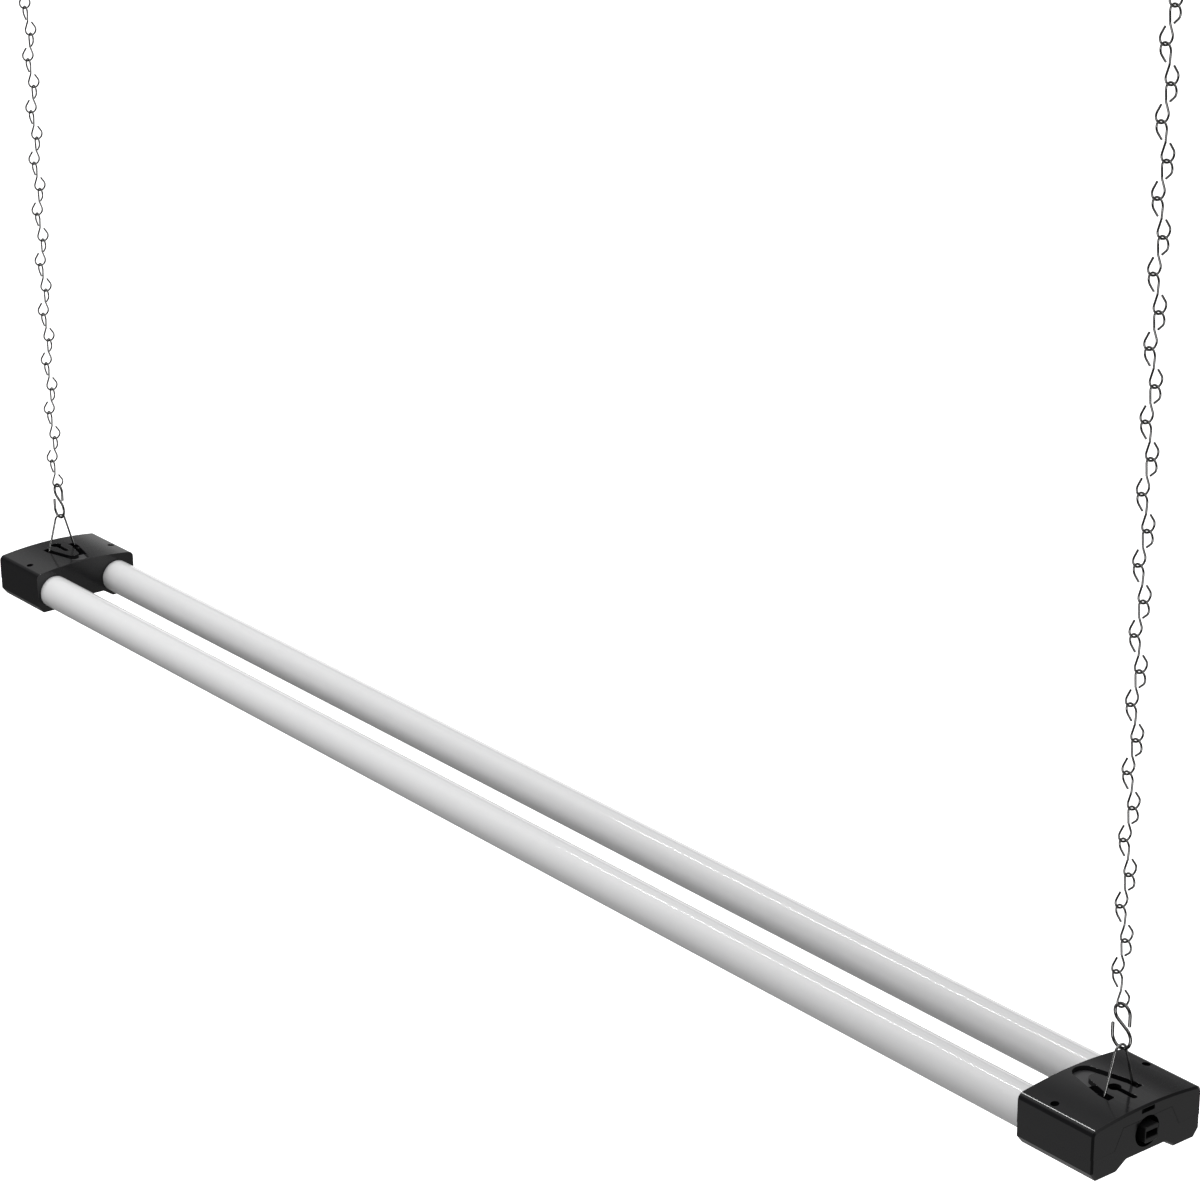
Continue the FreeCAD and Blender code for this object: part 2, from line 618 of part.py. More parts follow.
def socket_opening(body, label, side):
    """The round opening in the end wall."""
    opening = new_sketch(body, label + "_opening", "YZ_Plane", station(side, "(%s + 1)" % END))
    circle(opening, "0", "socket_height", "socket_hole_radius")
    extrude(body, "Pocket", opening, "cap_wall + 2", reverse=side == FAR)


def tube_openings(body, label, side):
    """The two round openings in the cap's inner wall that the tubes pass through."""
    openings = new_sketch(body, label + "_tubes", "YZ_Plane", station(side, "(%s - 1)" % INNER_FACE))
    for hand in (1, -1):
        circle(openings, "%d * tube_spacing / 2" % hand, "0", "tube_diameter / 2 + tube_clearance")
    extrude(body, "Pocket", openings, "cap_wall + 1.5", reverse=side == NEAR)


def lower_cover(side, label):
    """The lower cover of one cap: troughs, tongue, posts, tube stops and the connector's cradle."""
    body = new_body(label, label)
    outward = side == FAR

    section = new_sketch(body, label + "_section", "YZ_Plane", station(side, INNER_FACE))
    outline(section, lower_outline("0"))
    extrude(body, "Pad", section, "cap_length", reverse=outward)
    bevel_rim(body, label, side)
    cavity = new_sketch(body, label + "_cavity", "YZ_Plane", station(side, "(%s + cap_wall)" % INNER_FACE))
    outline(cavity, lower_outline("cap_wall"))
    extrude(body, "Pocket", cavity, "cap_length - 2 * cap_wall", reverse=not outward)

    tongue = new_sketch(body, label + "_tongue", "YZ_Plane", station(side, END))
    outline(tongue, tongue_outline("0", "-seam_drop - cap_wall"))
    extrude(body, "Pad", tongue, "cap_wall", reverse=not outward)
    socket_opening(body, label, side)
    tube_openings(body, label, side)

    floor = "(cap_wall * 0.9 - lobe_depth)"
    posts = new_sketch(body, label + "_posts", "XY_Plane", floor)
    pilots = new_sketch(body, label + "_pilots", "XY_Plane", "0")
    for hand in (1, -1):
        spot = (station(side, SCREW), "%d * screw_half_spacing" % hand)
        square(posts, spot[0], spot[1], "post_half")
        many_sided_hole(pilots, spot[0], spot[1], "screw_radius + screw_clearance", HOLE_SIDES)
    extrude(body, "Pad", posts, "lobe_depth - cap_wall * 0.9 - seam_drop")
    extrude(body, "Pocket", pilots, "screw_length - crown_edge_height + screw_well_depth + 1")

    stops = new_sketch(body, label + "_stops", "XY_Plane", floor)
    near_edge = "(%s + stop_gap)" % PLUG_FACE
    low = (station(side, near_edge), station(side, "(%s + stop_thickness)" % near_edge))[::side]
    for hand in (1, -1):
        edges = ("tube_spacing / 2 - stop_width / 2", "tube_spacing / 2 + stop_width / 2")[::hand]
        rectangle(stops, (low[0], "%d * (%s)" % (hand, edges[0])), (low[1], "%d * (%s)" % (hand, edges[1])))
    extrude(body, "Pad", stops, "stop_height")

    cradle = new_sketch(body, label + "_cradle", "XY_Plane", "cap_wall * 0.9 - notch_depth")
    rib_starts = (
        "(%s + flange_gap)" % FLANGE,
        "(%s - flange_thickness - flange_gap - rib_thickness)" % FLANGE,
    )
    for start in rib_starts:
        ends = (station(side, start), station(side, "(%s + rib_thickness)" % start))[::side]
        rectangle(cradle, (ends[0], "-rib_half_width"), (ends[1], "rib_half_width"))
    extrude(body, "Pad", cradle, "rib_height")
    if side == FAR:
        driver_posts(body, label)
    return body


def driver_posts(body, label):
    """Four short posts in the far cap's troughs that carry the driver board's corners."""
    posts = new_sketch(body, label + "_driver_posts", "XY_Plane", "cap_wall * 0.9 - lobe_depth")
    outer_row = "(-%s)" % DRIVER_OUTER
    inner_row = "(-%s - board_post_size)" % DRIVER_INNER
    for start in (outer_row, inner_row):
        for across in ("(driver_width / 2 - board_post_size)", "(-driver_width / 2)"):
            low = (start, across)
            high = ("%s + board_post_size" % start, "%s + board_post_size" % across)
            rectangle(posts, low, high)
    extrude(body, "Pad", posts, "lobe_depth - cap_wall * 0.9 - driver_drop - driver_thickness - board_gap")


# ---------------------------------------------------------------------------------------------
# Connectors
# ---------------------------------------------------------------------------------------------
def connector(side, label):
    """A shrouded two-pole connector: rounded shroud, flange that stands in the cradle, and slits
    for its contacts."""
    body = new_body(label, label)
    inward = side == NEAR
    mouth = "(%s + socket_proud)" % END

    flange = new_sketch(body, label + "_flange", "YZ_Plane", station(side, FLANGE))
    foot = "cap_wall - notch_depth + board_gap"
    rectangle(flange, ("-flange_half_width", foot), ("flange_half_width", "flange_top_height"))
    extrude(body, "Pad", flange, "flange_thickness", reverse=inward)

    shroud = new_sketch(body, label + "_shroud", "YZ_Plane", station(side, mouth))
    half, tall, corner = "socket_width / 2", "socket_tall / 2", "socket_corner"
    low, high = "socket_height - %s" % tall, "socket_height + %s" % tall
    outline(shroud, [
        ("-%s + %s" % (half, corner), low, corner, 1),
        ("%s - %s" % (half, corner), low),
        (half, "%s + %s" % (low, corner), corner, 1),
        (half, "%s - %s" % (high, corner)),
        ("%s - %s" % (half, corner), high, corner, 1),
        ("-%s + %s" % (half, corner), high),
        ("-%s" % half, "%s - %s" % (high, corner), corner, 1),
        ("-%s" % half, "%s + %s" % (low, corner)),
    ])
    extrude(body, "Pad", shroud, "socket_body_length", reverse=inward)

    mouth_slot = new_sketch(body, label + "_mouth", "YZ_Plane", station(side, mouth))
    rectangle(
        mouth_slot,
        ("-socket_slot_width / 2", "socket_height - socket_slot_tall / 2"),
        ("socket_slot_width / 2", "socket_height + socket_slot_tall / 2"))
    extrude(body, "Pocket", mouth_slot, "socket_slot_depth", reverse=not inward)

    slits = new_sketch(body, label + "_slits", "YZ_Plane", station(side, mouth))
    for hand in (1, -1):
        middle = "%d * contact_pitch / 2" % hand
        rectangle(
            slits,
            ("%s - contact_width / 2" % middle, "socket_height - contact_tall / 2"),
            ("%s + contact_width / 2" % middle, "socket_height + contact_tall / 2"))
    extrude(body, "Pocket", slits, "socket_body_length", reverse=not inward)
    return body


# ---------------------------------------------------------------------------------------------
# Primitives and shapes set in the light's own frame
# ---------------------------------------------------------------------------------------------
def rod(name, radius, length, x, y, sides=0):
    """A cylinder along +X that starts at x, with its axis at the height of the tube axes. With a
    number of sides it is a prism inside that cylinder."""
    solid = doc.addObject("Part::Prism" if sides else "Part::Cylinder", name)
    solid.Placement.Rotation = FreeCAD.Rotation(FreeCAD.Vector(0, 1, 0), 90)
    if sides:
        solid.Polygon = sides
        bind(solid, Circumradius=radius, Height=length)
    else:
        bind(solid, Radius=radius, Height=length)
    place(solid, x, y, TUBE_AXIS)
    return solid


def block(name, lengths, low):
    """A box with its three lengths and its low corner, whose z is a height above the tube axes."""
    box = doc.addObject("Part::Box", name)
    bind(box, Length=lengths[0], Width=lengths[1], Height=lengths[2])
    place(box, low[0], low[1], "%s + %s" % (TUBE_AXIS, low[2]))
    return box


def combine(kind, name, base, tool):
    """One solid cut from, joined to or shared with another."""
    result = doc.addObject("Part::" + kind, name)
    result.Base = base
    result.Tool = tool
    return result


def shaped(label, shape):
    """A sub-part whose shape is worked out here, in the light's own frame."""
    item = doc.addObject("Part::Feature", label)
    item.Shape = shape
    return keep(item, label)


def at_tubes(shape):
    """The same shape, moved from heights above the tube axes into the light's own frame."""
    moved = shape.copy()
    moved.translate(FreeCAD.Vector(0, 0, value(TUBE_AXIS)))
    return moved


def bar(points, diameter, sides):
    """A wire bent through the points: a many-sided bar of the round wire's section area, with its
    corners mitred."""
    path = [FreeCAD.Vector(*point) for point in points]
    along = (path[1] - path[0]).normalize()
    turn = FreeCAD.Rotation(FreeCAD.Vector(0, 0, 1), along)
    step = 2 * math.pi / sides
    radius = diameter / 2 * math.sqrt(step / math.sin(step))
    ring = []
    for corner in range(sides + 1):
        angle = (corner + 0.5) * step
        ring.append(path[0] + turn.multVec(
            FreeCAD.Vector(radius * math.cos(angle), radius * math.sin(angle), 0)))
    mitred = 1
    return Part.makePolygon(path).makePipeShell([Part.makePolygon(ring)], True, False, mitred)


def prism(foot, radius, rise, sides):
    """An upright prism inside the circle of this radius about its foot."""
    step = 2 * math.pi / sides
    ring = [
        foot + FreeCAD.Vector(radius * math.cos(corner * step), radius * math.sin(corner * step), 0)
        for corner in range(sides)]
    return Part.Face(Part.makePolygon(ring + ring[:1])).extrude(FreeCAD.Vector(0, 0, rise))


def arc_points(centre, radius, start, finish, count):
    """Corners of a many-sided arc drawn round its circle, so that the middle of each side lies on
    the circle. Angles are in degrees, in a plane of across and up."""
    step = (finish - start) / count
    reach = radius / math.cos(math.radians(step / 2))
    points = []
    for index in range(count):
        angle = math.radians(start + (index + 0.5) * step)
        points.append((centre[0] + reach * math.cos(angle), centre[1] + reach * math.sin(angle)))
    return points


# ---------------------------------------------------------------------------------------------
# Tubes and what they hold
# ---------------------------------------------------------------------------------------------
def tube(name, y):
    """One opal tube with its plugs, LED board, LED packages and heat sink."""
    length = "(2 * %s)" % TUBE_END
    outer = rod(name + "_outside", "tube_diameter / 2", length, "-" + TUBE_END, y)
    inner = rod(name + "_inside", "tube_diameter / 2 - tube_wall", length, "-" + TUBE_END, y)
    keep(combine("Cut", name + "_tube", outer, inner), name + "_tube")

    plugs = doc.addObject("Part::Compound", name + "_tube_plugs")
    plugs.Links = [tube_plug(name, end, side, y) for side, end in ((NEAR, "near"), (FAR, "far"))]
    keep(plugs, name + "_tube_plugs")

    board_end = "(%s - board_end_gap)" % TUBE_END
    board_length = "(2 * %s)" % board_end
    board = block(
        name + "_led_board",
        (board_length, "board_width", "board_thickness"),
        ("-" + board_end, "%s - board_width / 2" % y, "board_height"))
    keep(board, name + "_led_board")

    sink_radius = "(tube_diameter / 2 - tube_wall - sink_clearance)"
    solid = rod(name + "_sink_outside", sink_radius, board_length, "-" + board_end, y)
    above = block(
        name + "_sink_side",
        (board_length, "tube_diameter", "tube_diameter"),
        ("-" + board_end, "%s - tube_diameter / 2" % y, BOARD_TOP))
    hollow = rod(name + "_sink_inside", sink_radius + " - sink_wall", board_length, "-" + board_end, y)
    over_base = block(
        name + "_sink_hollow",
        (board_length, "tube_diameter", "tube_diameter"),
        ("-" + board_end, "%s - tube_diameter / 2" % y, BOARD_TOP + " + sink_base"))
    segment = combine("Common", name + "_sink_segment", solid, above)
    cavity = combine("Common", name + "_sink_cavity", hollow, over_base)
    keep(combine("Cut", name + "_heat_sink", segment, cavity), name + "_heat_sink")
    led_row(name, y)


def tube_plug(name, end, side, y):
    """The plug in one end of a tube, with a hole for the leads."""
    label = "%s_%s_plug" % (name, end)
    inside = TUBE_END + " - plug_depth"
    body_x = inside if side == NEAR else "-" + TUBE_END
    flange_x = TUBE_END if side == NEAR else "-" + PLUG_FACE
    hole_x = inside if side == NEAR else "-" + PLUG_FACE
    body_radius = "tube_diameter / 2 - tube_wall - plug_clearance"
    body = rod(label + "_body", body_radius, "plug_depth", body_x, y, PLUG_SIDES)
    flange = rod(label + "_rim", "tube_diameter / 2", "plug_flange", flange_x, y, PLUG_SIDES)
    hole = rod(label + "_hole", "plug_wire_hole", "plug_depth + plug_flange", hole_x, y, HOLE_SIDES)
    return combine("Cut", label, combine("Fuse", label + "_whole", body, flange), hole)


def led_row(name, y):
    """The LED packages under one board, as one group of separate solids."""
    reach = value(TUBE_END) - size("board_end_gap") - size("led_length")
    count = 2 * int(reach / size("led_pitch")) + 1
    packages = []
    for index in range(count):
        x = (index - (count - 1) / 2) * size("led_pitch") - size("led_length") / 2
        low = FreeCAD.Vector(x, value(y) - size("led_width") / 2, size("board_height") - size("led_thickness"))
        packages.append(Part.makeBox(size("led_length"), size("led_width"), size("led_thickness"), low))
    shaped(name + "_leds", at_tubes(Part.makeCompound(packages)))


# ---------------------------------------------------------------------------------------------
# Small pieces of the caps
# ---------------------------------------------------------------------------------------------
def cover_screws(side, label):
    """The two pan-head screws of one cap."""
    seat = size("crown_edge_height") - size("screw_well_depth")
    screws = []
    for hand in (1, -1):
        foot = FreeCAD.Vector(side * value(SCREW), hand * size("screw_half_spacing"), seat)
        head = prism(foot, size("screw_head_radius"), size("screw_head_height"), WELL_SIDES)
        shank = prism(foot, size("screw_radius"), -size("screw_length"), HOLE_SIDES)
        screws.append(head.fuse(shank))
    shaped(label, at_tubes(Part.makeCompound(screws)))


def contacts(side, label):
    """The two contact blades of a connector, from their tips in the mouth to their tails."""
    tip = value(END) + size("socket_proud") - size("socket_slot_depth") + size("contact_length")
    tail = value(END) + size("socket_proud") - size("socket_body_length") - size("contact_tail")
    blades = []
    for hand in (1, -1):
        corner = FreeCAD.Vector(
            tail if side == NEAR else -tip,
            hand * size("contact_pitch") / 2 - size("contact_width") / 2 + size("pivot_clearance"),
            size("socket_height") - size("contact_tall") / 2 + size("pivot_clearance"))
        slim = 2 * size("pivot_clearance")
        blades.append(Part.makeBox(
            tip - tail, size("contact_width") - slim, size("contact_tall") - slim, corner))
    shaped(label, at_tubes(Part.makeCompound(blades)))


def driver():
    """The driver board in the far cap, with its transformer and capacitors."""
    board = block(
        "driver_board",
        (DRIVER_LENGTH, "driver_width", "driver_thickness"),
        ("-" + DRIVER_OUTER, "-driver_width / 2", "-driver_drop - driver_thickness"))
    keep(board, "driver_board")
    middle = "(-(%s + %s) / 2)" % (DRIVER_OUTER, DRIVER_INNER)
    transformer = block(
        "driver_transformer",
        ("transformer_length", "transformer_width", "transformer_height"),
        ("%s - transformer_length / 2 + part_spacing" % middle, "-transformer_width / 2", "-driver_drop"))
    keep(transformer, "driver_transformer")
    film = block(
        "driver_input_capacitor",
        ("film_length", "film_width", "capacitor_height"),
        ("%s - film_length / 2" % middle, "transformer_width / 2 + part_spacing", "-driver_drop"))
    keep(film, "driver_input_capacitor")
    can = doc.addObject("Part::Prism", "driver_output_capacitor")
    can.Polygon = HOLE_SIDES
    bind(can, Circumradius="capacitor_radius", Height="capacitor_height")
    spot = "-(transformer_width / 2 + part_spacing + capacitor_radius)"
    place(can, middle, spot, "%s - driver_drop" % TUBE_AXIS)
    keep(can, "driver_output_capacitor")


def leads():
    """Insulated leads: from the inlet and the two tubes to the driver, and along the rear tube to
    the outlet."""
    thick = size("lead_diameter")
    gap = size("lead_gap")
    board = gap - size("driver_drop")
    board_inner = -value(DRIVER_INNER)
    tail = value(END) + size("socket_proud") - size("socket_body_length") - size("contact_tail")
    plug = value(TUBE_END)
    axis = size("tube_spacing") / 2
    half = size("contact_pitch") / 2
    spread = size("lead_spread") / 2
    height = size("socket_height")
    hole = size("plug_wire_hole") / 2
    drop = gap + size("lead_straight") - tail
    supply = []
    for hand in (1, -1):
        supply.append(bar([
            (gap - tail, hand * half, height),
            (drop, hand * half, height),
            (drop, hand * half, board),
        ], thick, LEAD_SIDES))
        supply.append(bar([
            (thick * 4 - plug, hand * axis, hole),
            (-plug - thick * 2, hand * axis, hole),
            (board_inner - thick, hand * (axis - thick), hole),
            (board_inner - thick, hand * (axis - thick), board),
        ], thick, LEAD_SIDES))
    shaped("driver_leads", at_tubes(Part.makeCompound(supply)))
    link = []
    for hand in (1, -1):
        inner = axis + hand * spread
        outer = axis - thick * 5 + hand * spread
        link.append(bar([
            (board_inner - thick, outer, board),
            (board_inner - thick, outer, -hole),
            (-plug - thick * 2, inner, -hole),
            (plug + thick * 2, inner, -hole),
            (plug + thick * 5, outer, -hole),
            (tail - thick * 3, outer, height),
            (tail - thick, hand * half, height),
            (tail - gap, hand * half, height),
        ], thick, LEAD_SIDES))
    shaped("link_leads", at_tubes(Part.makeCompound(link)))


# ---------------------------------------------------------------------------------------------
# Bent wire: bails, S-hooks, ceiling hooks and the links of the chains
# ---------------------------------------------------------------------------------------------
def bail(side, label):
    """The folding wire bail of one cap: two feet in the pivot holes, two leaning legs, one bend."""
    half, rise = size("bail_half_top"), size("bail_top_rise")
    radius = (half ** 2 + rise ** 2) / (2 * rise)
    sweep = math.degrees(math.atan2(half, radius - rise))
    bend = arc_points((0, value(BAIL_HEIGHT) - radius), radius, 90 - sweep, 90 + sweep, 6)
    foot = size("bail_half_foot")
    end = foot + size("bail_foot_length")
    path = [(end, 0), (foot, 0)] + bend + [(-foot, 0), (-end, 0)]
    x = side * value(PIVOT)
    lift = size("bail_pivot_height")
    shaped(label, at_tubes(bar([(x, y, lift + z) for y, z in path], size("bail_wire"), BAIL_SIDES)))


def s_hook(label, x, top, along):
    """An S-hook that hangs with its bowls under one another; along is True for the XZ plane."""
    low_radius, high_radius = size("hook_lower_radius"), size("hook_upper_radius")
    low = (0, top - size("hook_height") + low_radius)
    high = (0, top - high_radius)
    lean = math.degrees(math.acos((low_radius + high_radius) / (high[1] - low[1])))
    tip = size("hook_tip")
    path = [(-low_radius, low[1] + tip)]
    path += arc_points(low, low_radius, 180, 450 - lean, 8)
    path += arc_points(high, high_radius, 270 - lean, 0, 8)
    path += [(high_radius, high[1] - tip)]
    if along:
        points = [(x + across, 0, up) for across, up in path]
    else:
        points = [(x, across, up) for across, up in path]
    shaped(label, bar(points, size("hook_wire"), HOOK_SIDES))


def ceiling_hook(label, x):
    """A screw hook: round thread and shank, and an open bowl whose bottom lies under the shank."""
    wire, radius, shank = size("ceiling_wire"), size("ceiling_bowl_radius"), size("ceiling_shank")
    centre = radius - size("ceiling_hook_drop")
    thread = Part.makeCylinder(
        wire / 2, size("ceiling_thread_length") + shank, FreeCAD.Vector(x, 0, -shank))
    path = [(0, -shank / 2), (0, centre + radius * 1.75)]
    path += arc_points((0, centre), radius, 120, 385, 9)
    bowl = bar([(x + across, 0, up) for across, up in path], wire, HOOK_SIDES)
    shaped(label, thread.fuse(bowl))


def link_path():
    """One link about the middle of its spine: an upper loop in the XZ plane and a lower loop in the
    YZ plane, each leaving the spine, going round and coming back beside it, open."""
    half = size("link_height") / 2
    radius = size("link_loop_radius")
    gap = size("link_end_gap")
    sweep = size("link_loop_sweep") / 2
    loops = []
    for offset in (size("link_upper_offset"), size("link_lower_offset")):
        centre = (offset, half - radius)
        loops.append([(gap, gap / 4)] + arc_points(centre, radius, 90 - sweep, 90 + sweep, 4))
    upper, lower = loops
    path = [(across, 0, up) for across, up in upper]
    path += [(0, -across, -up) for across, up in reversed(lower)]
    return path


def chain(label, x):
    """A jack chain: each link hangs in the one above, turned half round, so that the places where
    they meet step from side to side of the chain's middle line."""
    turn = FreeCAD.Rotation(FreeCAD.Vector(0, 0, 1), size("link_turn"))
    across = FreeCAD.Vector(size("link_upper_offset"), 0, 0)
    back = FreeCAD.Vector(0, size("link_lower_offset"), 0)
    pitch = value(LINK_PITCH)
    top = value(CHAIN_TOP)
    path = [FreeCAD.Vector(*point) for point in link_path()]
    wire = size("link_wire")
    base = bar([turn.multVec(point) for point in path], wire, LINK_SIDES)
    half_turn = FreeCAD.Rotation(FreeCAD.Vector(0, 0, 1), 180)
    links = []
    for index in range(int(size("link_count"))):
        link = base.copy()
        height = top - index * pitch - size("link_height") / 2
        if index % 2 == 0:
            spot = turn.multVec(-across)
            rotation = FreeCAD.Rotation()
        else:
            spot = turn.multVec(-back)
            rotation = half_turn
        place_at = FreeCAD.Vector(x + spot.x, spot.y, height)
        link.Placement = FreeCAD.Placement(place_at, rotation)
        links.append(link)
    shaped(label, Part.makeCompound(links))


# ---------------------------------------------------------------------------------------------
# The whole light
# ---------------------------------------------------------------------------------------------
for side, end in ((NEAR, "near"), (FAR, "far")):
    upper_cover(side, end + "_top_cover")
    lower_cover(side, end + "_bottom_cover")
    cover_screws(side, end + "_cover_screws")
    bail(side, end + "_bail")
    hang_at = side * value(PIVOT)
    ceiling_hook(end + "_ceiling_hook", hang_at)
    s_hook(end + "_upper_s_hook", hang_at, value(UPPER_HOOK_TOP), along=False)
    chain(end + "_chain", hang_at)
    s_hook(end + "_lower_s_hook", hang_at, value(LOWER_HOOK_TOP), along=True)

connector(NEAR, "outlet_socket")
contacts(NEAR, "outlet_contacts")
connector(FAR, "inlet_socket")
contacts(FAR, "inlet_pins")
tube("front", "-tube_spacing / 2")
tube("rear", "tube_spacing / 2")
driver()
leads()
doc.recompute()

for item in doc.Objects:
    if "Invalid" in item.State or "Error" in item.State:
        raise RuntimeError("%s did not compute: %s" % (item.Label, item.State))
for item in parts:
    if item.Shape.isNull() or not item.Shape.isValid() or not item.Shape.Solids:
        raise RuntimeError("%s has no sound shape" % item.Label)

os.makedirs("parts", exist_ok=True)
for item in parts:
    item.Shape.exportStep(os.path.join("parts", item.Label + ".step"))
    print("%-24s %2d solids  %10.1f mm3" % (item.Label, len(item.Shape.Solids), item.Shape.Volume))
print("tube axis at z = %.3f mm" % value(TUBE_AXIS))
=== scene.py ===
"""Looks of a hanging shop light: two opal tubes between black moulded caps, hung on jack chains.

Everything is in metres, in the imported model's frame: origin on the ceiling midway between the two
ceiling hooks, +X along the tubes towards the near cap, +Y across them, +Z up. Sizes in the classes
are written in millimetres, as a drawing gives them, and MM turns them to metres.
"""
import json
import logging
import math
from dataclasses import dataclass, field
from enum import Enum

import bmesh
import bpy
import numpy as np
from bpy.types import ID, Material, Mesh, Node, NodeSocket, NodeTree, Object
from mathutils import Matrix, Vector

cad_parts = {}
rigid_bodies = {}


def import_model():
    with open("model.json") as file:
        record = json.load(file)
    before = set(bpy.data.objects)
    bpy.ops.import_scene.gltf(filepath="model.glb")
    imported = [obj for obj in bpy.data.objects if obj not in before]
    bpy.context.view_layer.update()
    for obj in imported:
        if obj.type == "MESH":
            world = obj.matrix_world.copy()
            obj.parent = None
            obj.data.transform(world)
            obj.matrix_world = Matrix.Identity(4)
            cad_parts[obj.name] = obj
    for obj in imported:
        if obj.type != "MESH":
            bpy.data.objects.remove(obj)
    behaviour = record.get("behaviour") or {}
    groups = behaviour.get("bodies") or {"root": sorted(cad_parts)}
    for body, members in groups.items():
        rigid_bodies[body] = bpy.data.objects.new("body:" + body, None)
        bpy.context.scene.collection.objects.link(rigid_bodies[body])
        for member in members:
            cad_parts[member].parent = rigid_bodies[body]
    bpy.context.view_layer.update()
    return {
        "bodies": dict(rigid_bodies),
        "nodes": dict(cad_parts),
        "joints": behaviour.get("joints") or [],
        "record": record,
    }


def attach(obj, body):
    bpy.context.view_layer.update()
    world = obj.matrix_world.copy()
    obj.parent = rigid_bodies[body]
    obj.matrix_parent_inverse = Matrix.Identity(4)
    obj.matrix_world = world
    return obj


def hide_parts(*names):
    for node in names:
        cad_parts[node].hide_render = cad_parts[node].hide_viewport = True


MM = 0.001
LOG = logging.getLogger("shop_light")

# Edges of the new meshes that bend by more degrees than this stay sharp.
CREASE = 40.0
# Points on each rounded bend of a wire.
BEND_POINTS = 9
# The cut end of a wire is rounded by this share of its radius.
WIRE_END = 0.25
# Sockets of the colour mix node, whose names Blender uses more than once.
MIX_FACTOR, MIX_FIRST, MIX_SECOND, MIX_RESULT = 0, 6, 7, 2

Pair = tuple[float, float]
Triple = tuple[float, float, float]
Levels = tuple[Pair, ...]


# ---- Named options ----
class End(Enum):
    """The two ends of the light, with the sign of X at each."""

    NEAR = 1
    FAR = -1

    @property
    def word(self) -> str:
        """The end's word in node names."""
        return self.name.lower()


class Plane(Enum):
    """The upright plane that a bent wire lies in: the columns that across, out and up go to."""

    ALONG = (0, 1, 2)
    ACROSS = (1, 0, 2)


# ---- Colours and nodes ----
def linear(code: str) -> tuple[float, float, float, float]:
    """Turn an sRGB colour such as "#2b2b2b" to a linear one.

    Args:
        code: the colour as six hex digits after a hash.

    Returns:
        Linear red, green, blue and an alpha of 1.
    """
    channels = np.array([int(code[place:place + 2], 16) for place in (1, 3, 5)]) / 255.0
    bright = ((channels + 0.055) / 1.055) ** 2.4
    red, green, blue = np.where(channels <= 0.04045, channels / 12.92, bright).tolist()
    return red, green, blue, 1.0


def add_node(
        tree: NodeTree, kind: str, settings: dict | None = None, links: dict | None = None) -> Node:
    """Add one node with its settings and incoming links.

    Args:
        tree: the node tree to add to.
        kind: Blender's name for the node type.
        settings: attribute names, or socket names or numbers, and their values.
        links: socket names or numbers of the new node, and the output sockets that feed them.

    Returns:
        The new node.
    """
    node = tree.nodes.new(kind)
    for name, setting in (settings or {}).items():
        if isinstance(name, str) and hasattr(node, name):
            setattr(node, name, setting)
        else:
            node.inputs[name].default_value = setting
    for name, source in (links or {}).items():
        tree.links.new(source, node.inputs[name])
    return node


# ---- Finishes ----
@dataclass(frozen=True)
class Finish:
    """A surface whose fine grain can be pulled out to lines: the base of every material here."""

    name: str
    colour: str
    shade: str
    roughness: float
    roughness_spread: float
    grain_mm: float
    relief_mm: float
    metallic: float = 0.0
    # The grain is pulled out along an axis by one over this.
    stretch: Triple = (1.0, 1.0, 1.0)
    mottle_mm: float = 9.0

    def material(self) -> Material:
        """Build the material once and hand it out again afterwards.

        Returns:
            The material: two close tones that drift over mottle_mm, a roughness that drifts with
            them, and a bump whose cells are grain_mm wide and as long as stretch says.
        """
        if self.name in bpy.data.materials:
            return bpy.data.materials[self.name]
        material = bpy.data.materials.new(self.name)
        material.use_nodes = True
        tree = material.node_tree
        tree.nodes.clear()
        place = add_node(tree, "ShaderNodeTexCoord").outputs["Object"]
        drift = add_node(
            tree, "ShaderNodeTexNoise",
            {"Scale": 1.0 / (self.mottle_mm * MM), "Detail": 3.0, "Roughness": 0.55}, {"Vector": place})
        tone = add_node(
            tree, "ShaderNodeMix",
            {"data_type": "RGBA", MIX_FIRST: linear(self.colour), MIX_SECOND: linear(self.shade)},
            {MIX_FACTOR: drift.outputs[0]})
        rough = add_node(
            tree, "ShaderNodeMapRange",
            {
                "To Min": self.roughness - self.roughness_spread,
                "To Max": self.roughness + self.roughness_spread,
            },
            {"Value": drift.outputs[0]})
        pulled = add_node(tree, "ShaderNodeMapping", {"Scale": self.stretch}, {"Vector": place})
        grain = add_node(
            tree, "ShaderNodeTexNoise",
            {"Scale": 1.0 / (self.grain_mm * MM), "Detail": 2.0}, {"Vector": pulled.outputs[0]})
        bump = add_node(
            tree, "ShaderNodeBump", {"Strength": 1.0, "Distance": self.relief_mm * MM},
            {"Height": grain.outputs[0]})
        shader = add_node(
            tree, "ShaderNodeBsdfPrincipled", {"Metallic": self.metallic},
            {
                "Base Color": tone.outputs[MIX_RESULT],
                "Roughness": rough.outputs[0],
                "Normal": bump.outputs[0],
            })
        add_node(tree, "ShaderNodeOutputMaterial", links={"Surface": shader.outputs[0]})
        return material


# Lines that drawing leaves along an upright wire, and extruding or brushing along the tubes.
DRAWN = (1.0, 1.0, 0.1)
EXTRUDED = (0.02, 1.0, 1.0)
BRUSHED = (0.1, 1.0, 1.0)
# ABS moulded in a polished tool: near black, satin to glossy, with a faint unevenness.
UPPER_ABS = Finish("moulded_abs_black", "#131314", "#18181a", 0.13, 0.015, 0.6, 0.0004)
# The same plastic out of a slightly duller tool, as the lower covers look; its colour is also a little
# darker, which is painted shade on the lower covers.
LOWER_ABS_SHADED = Finish("moulded_abs_black_dull", "#111112", "#161617", 0.22, 0.02, 0.6, 0.0008)
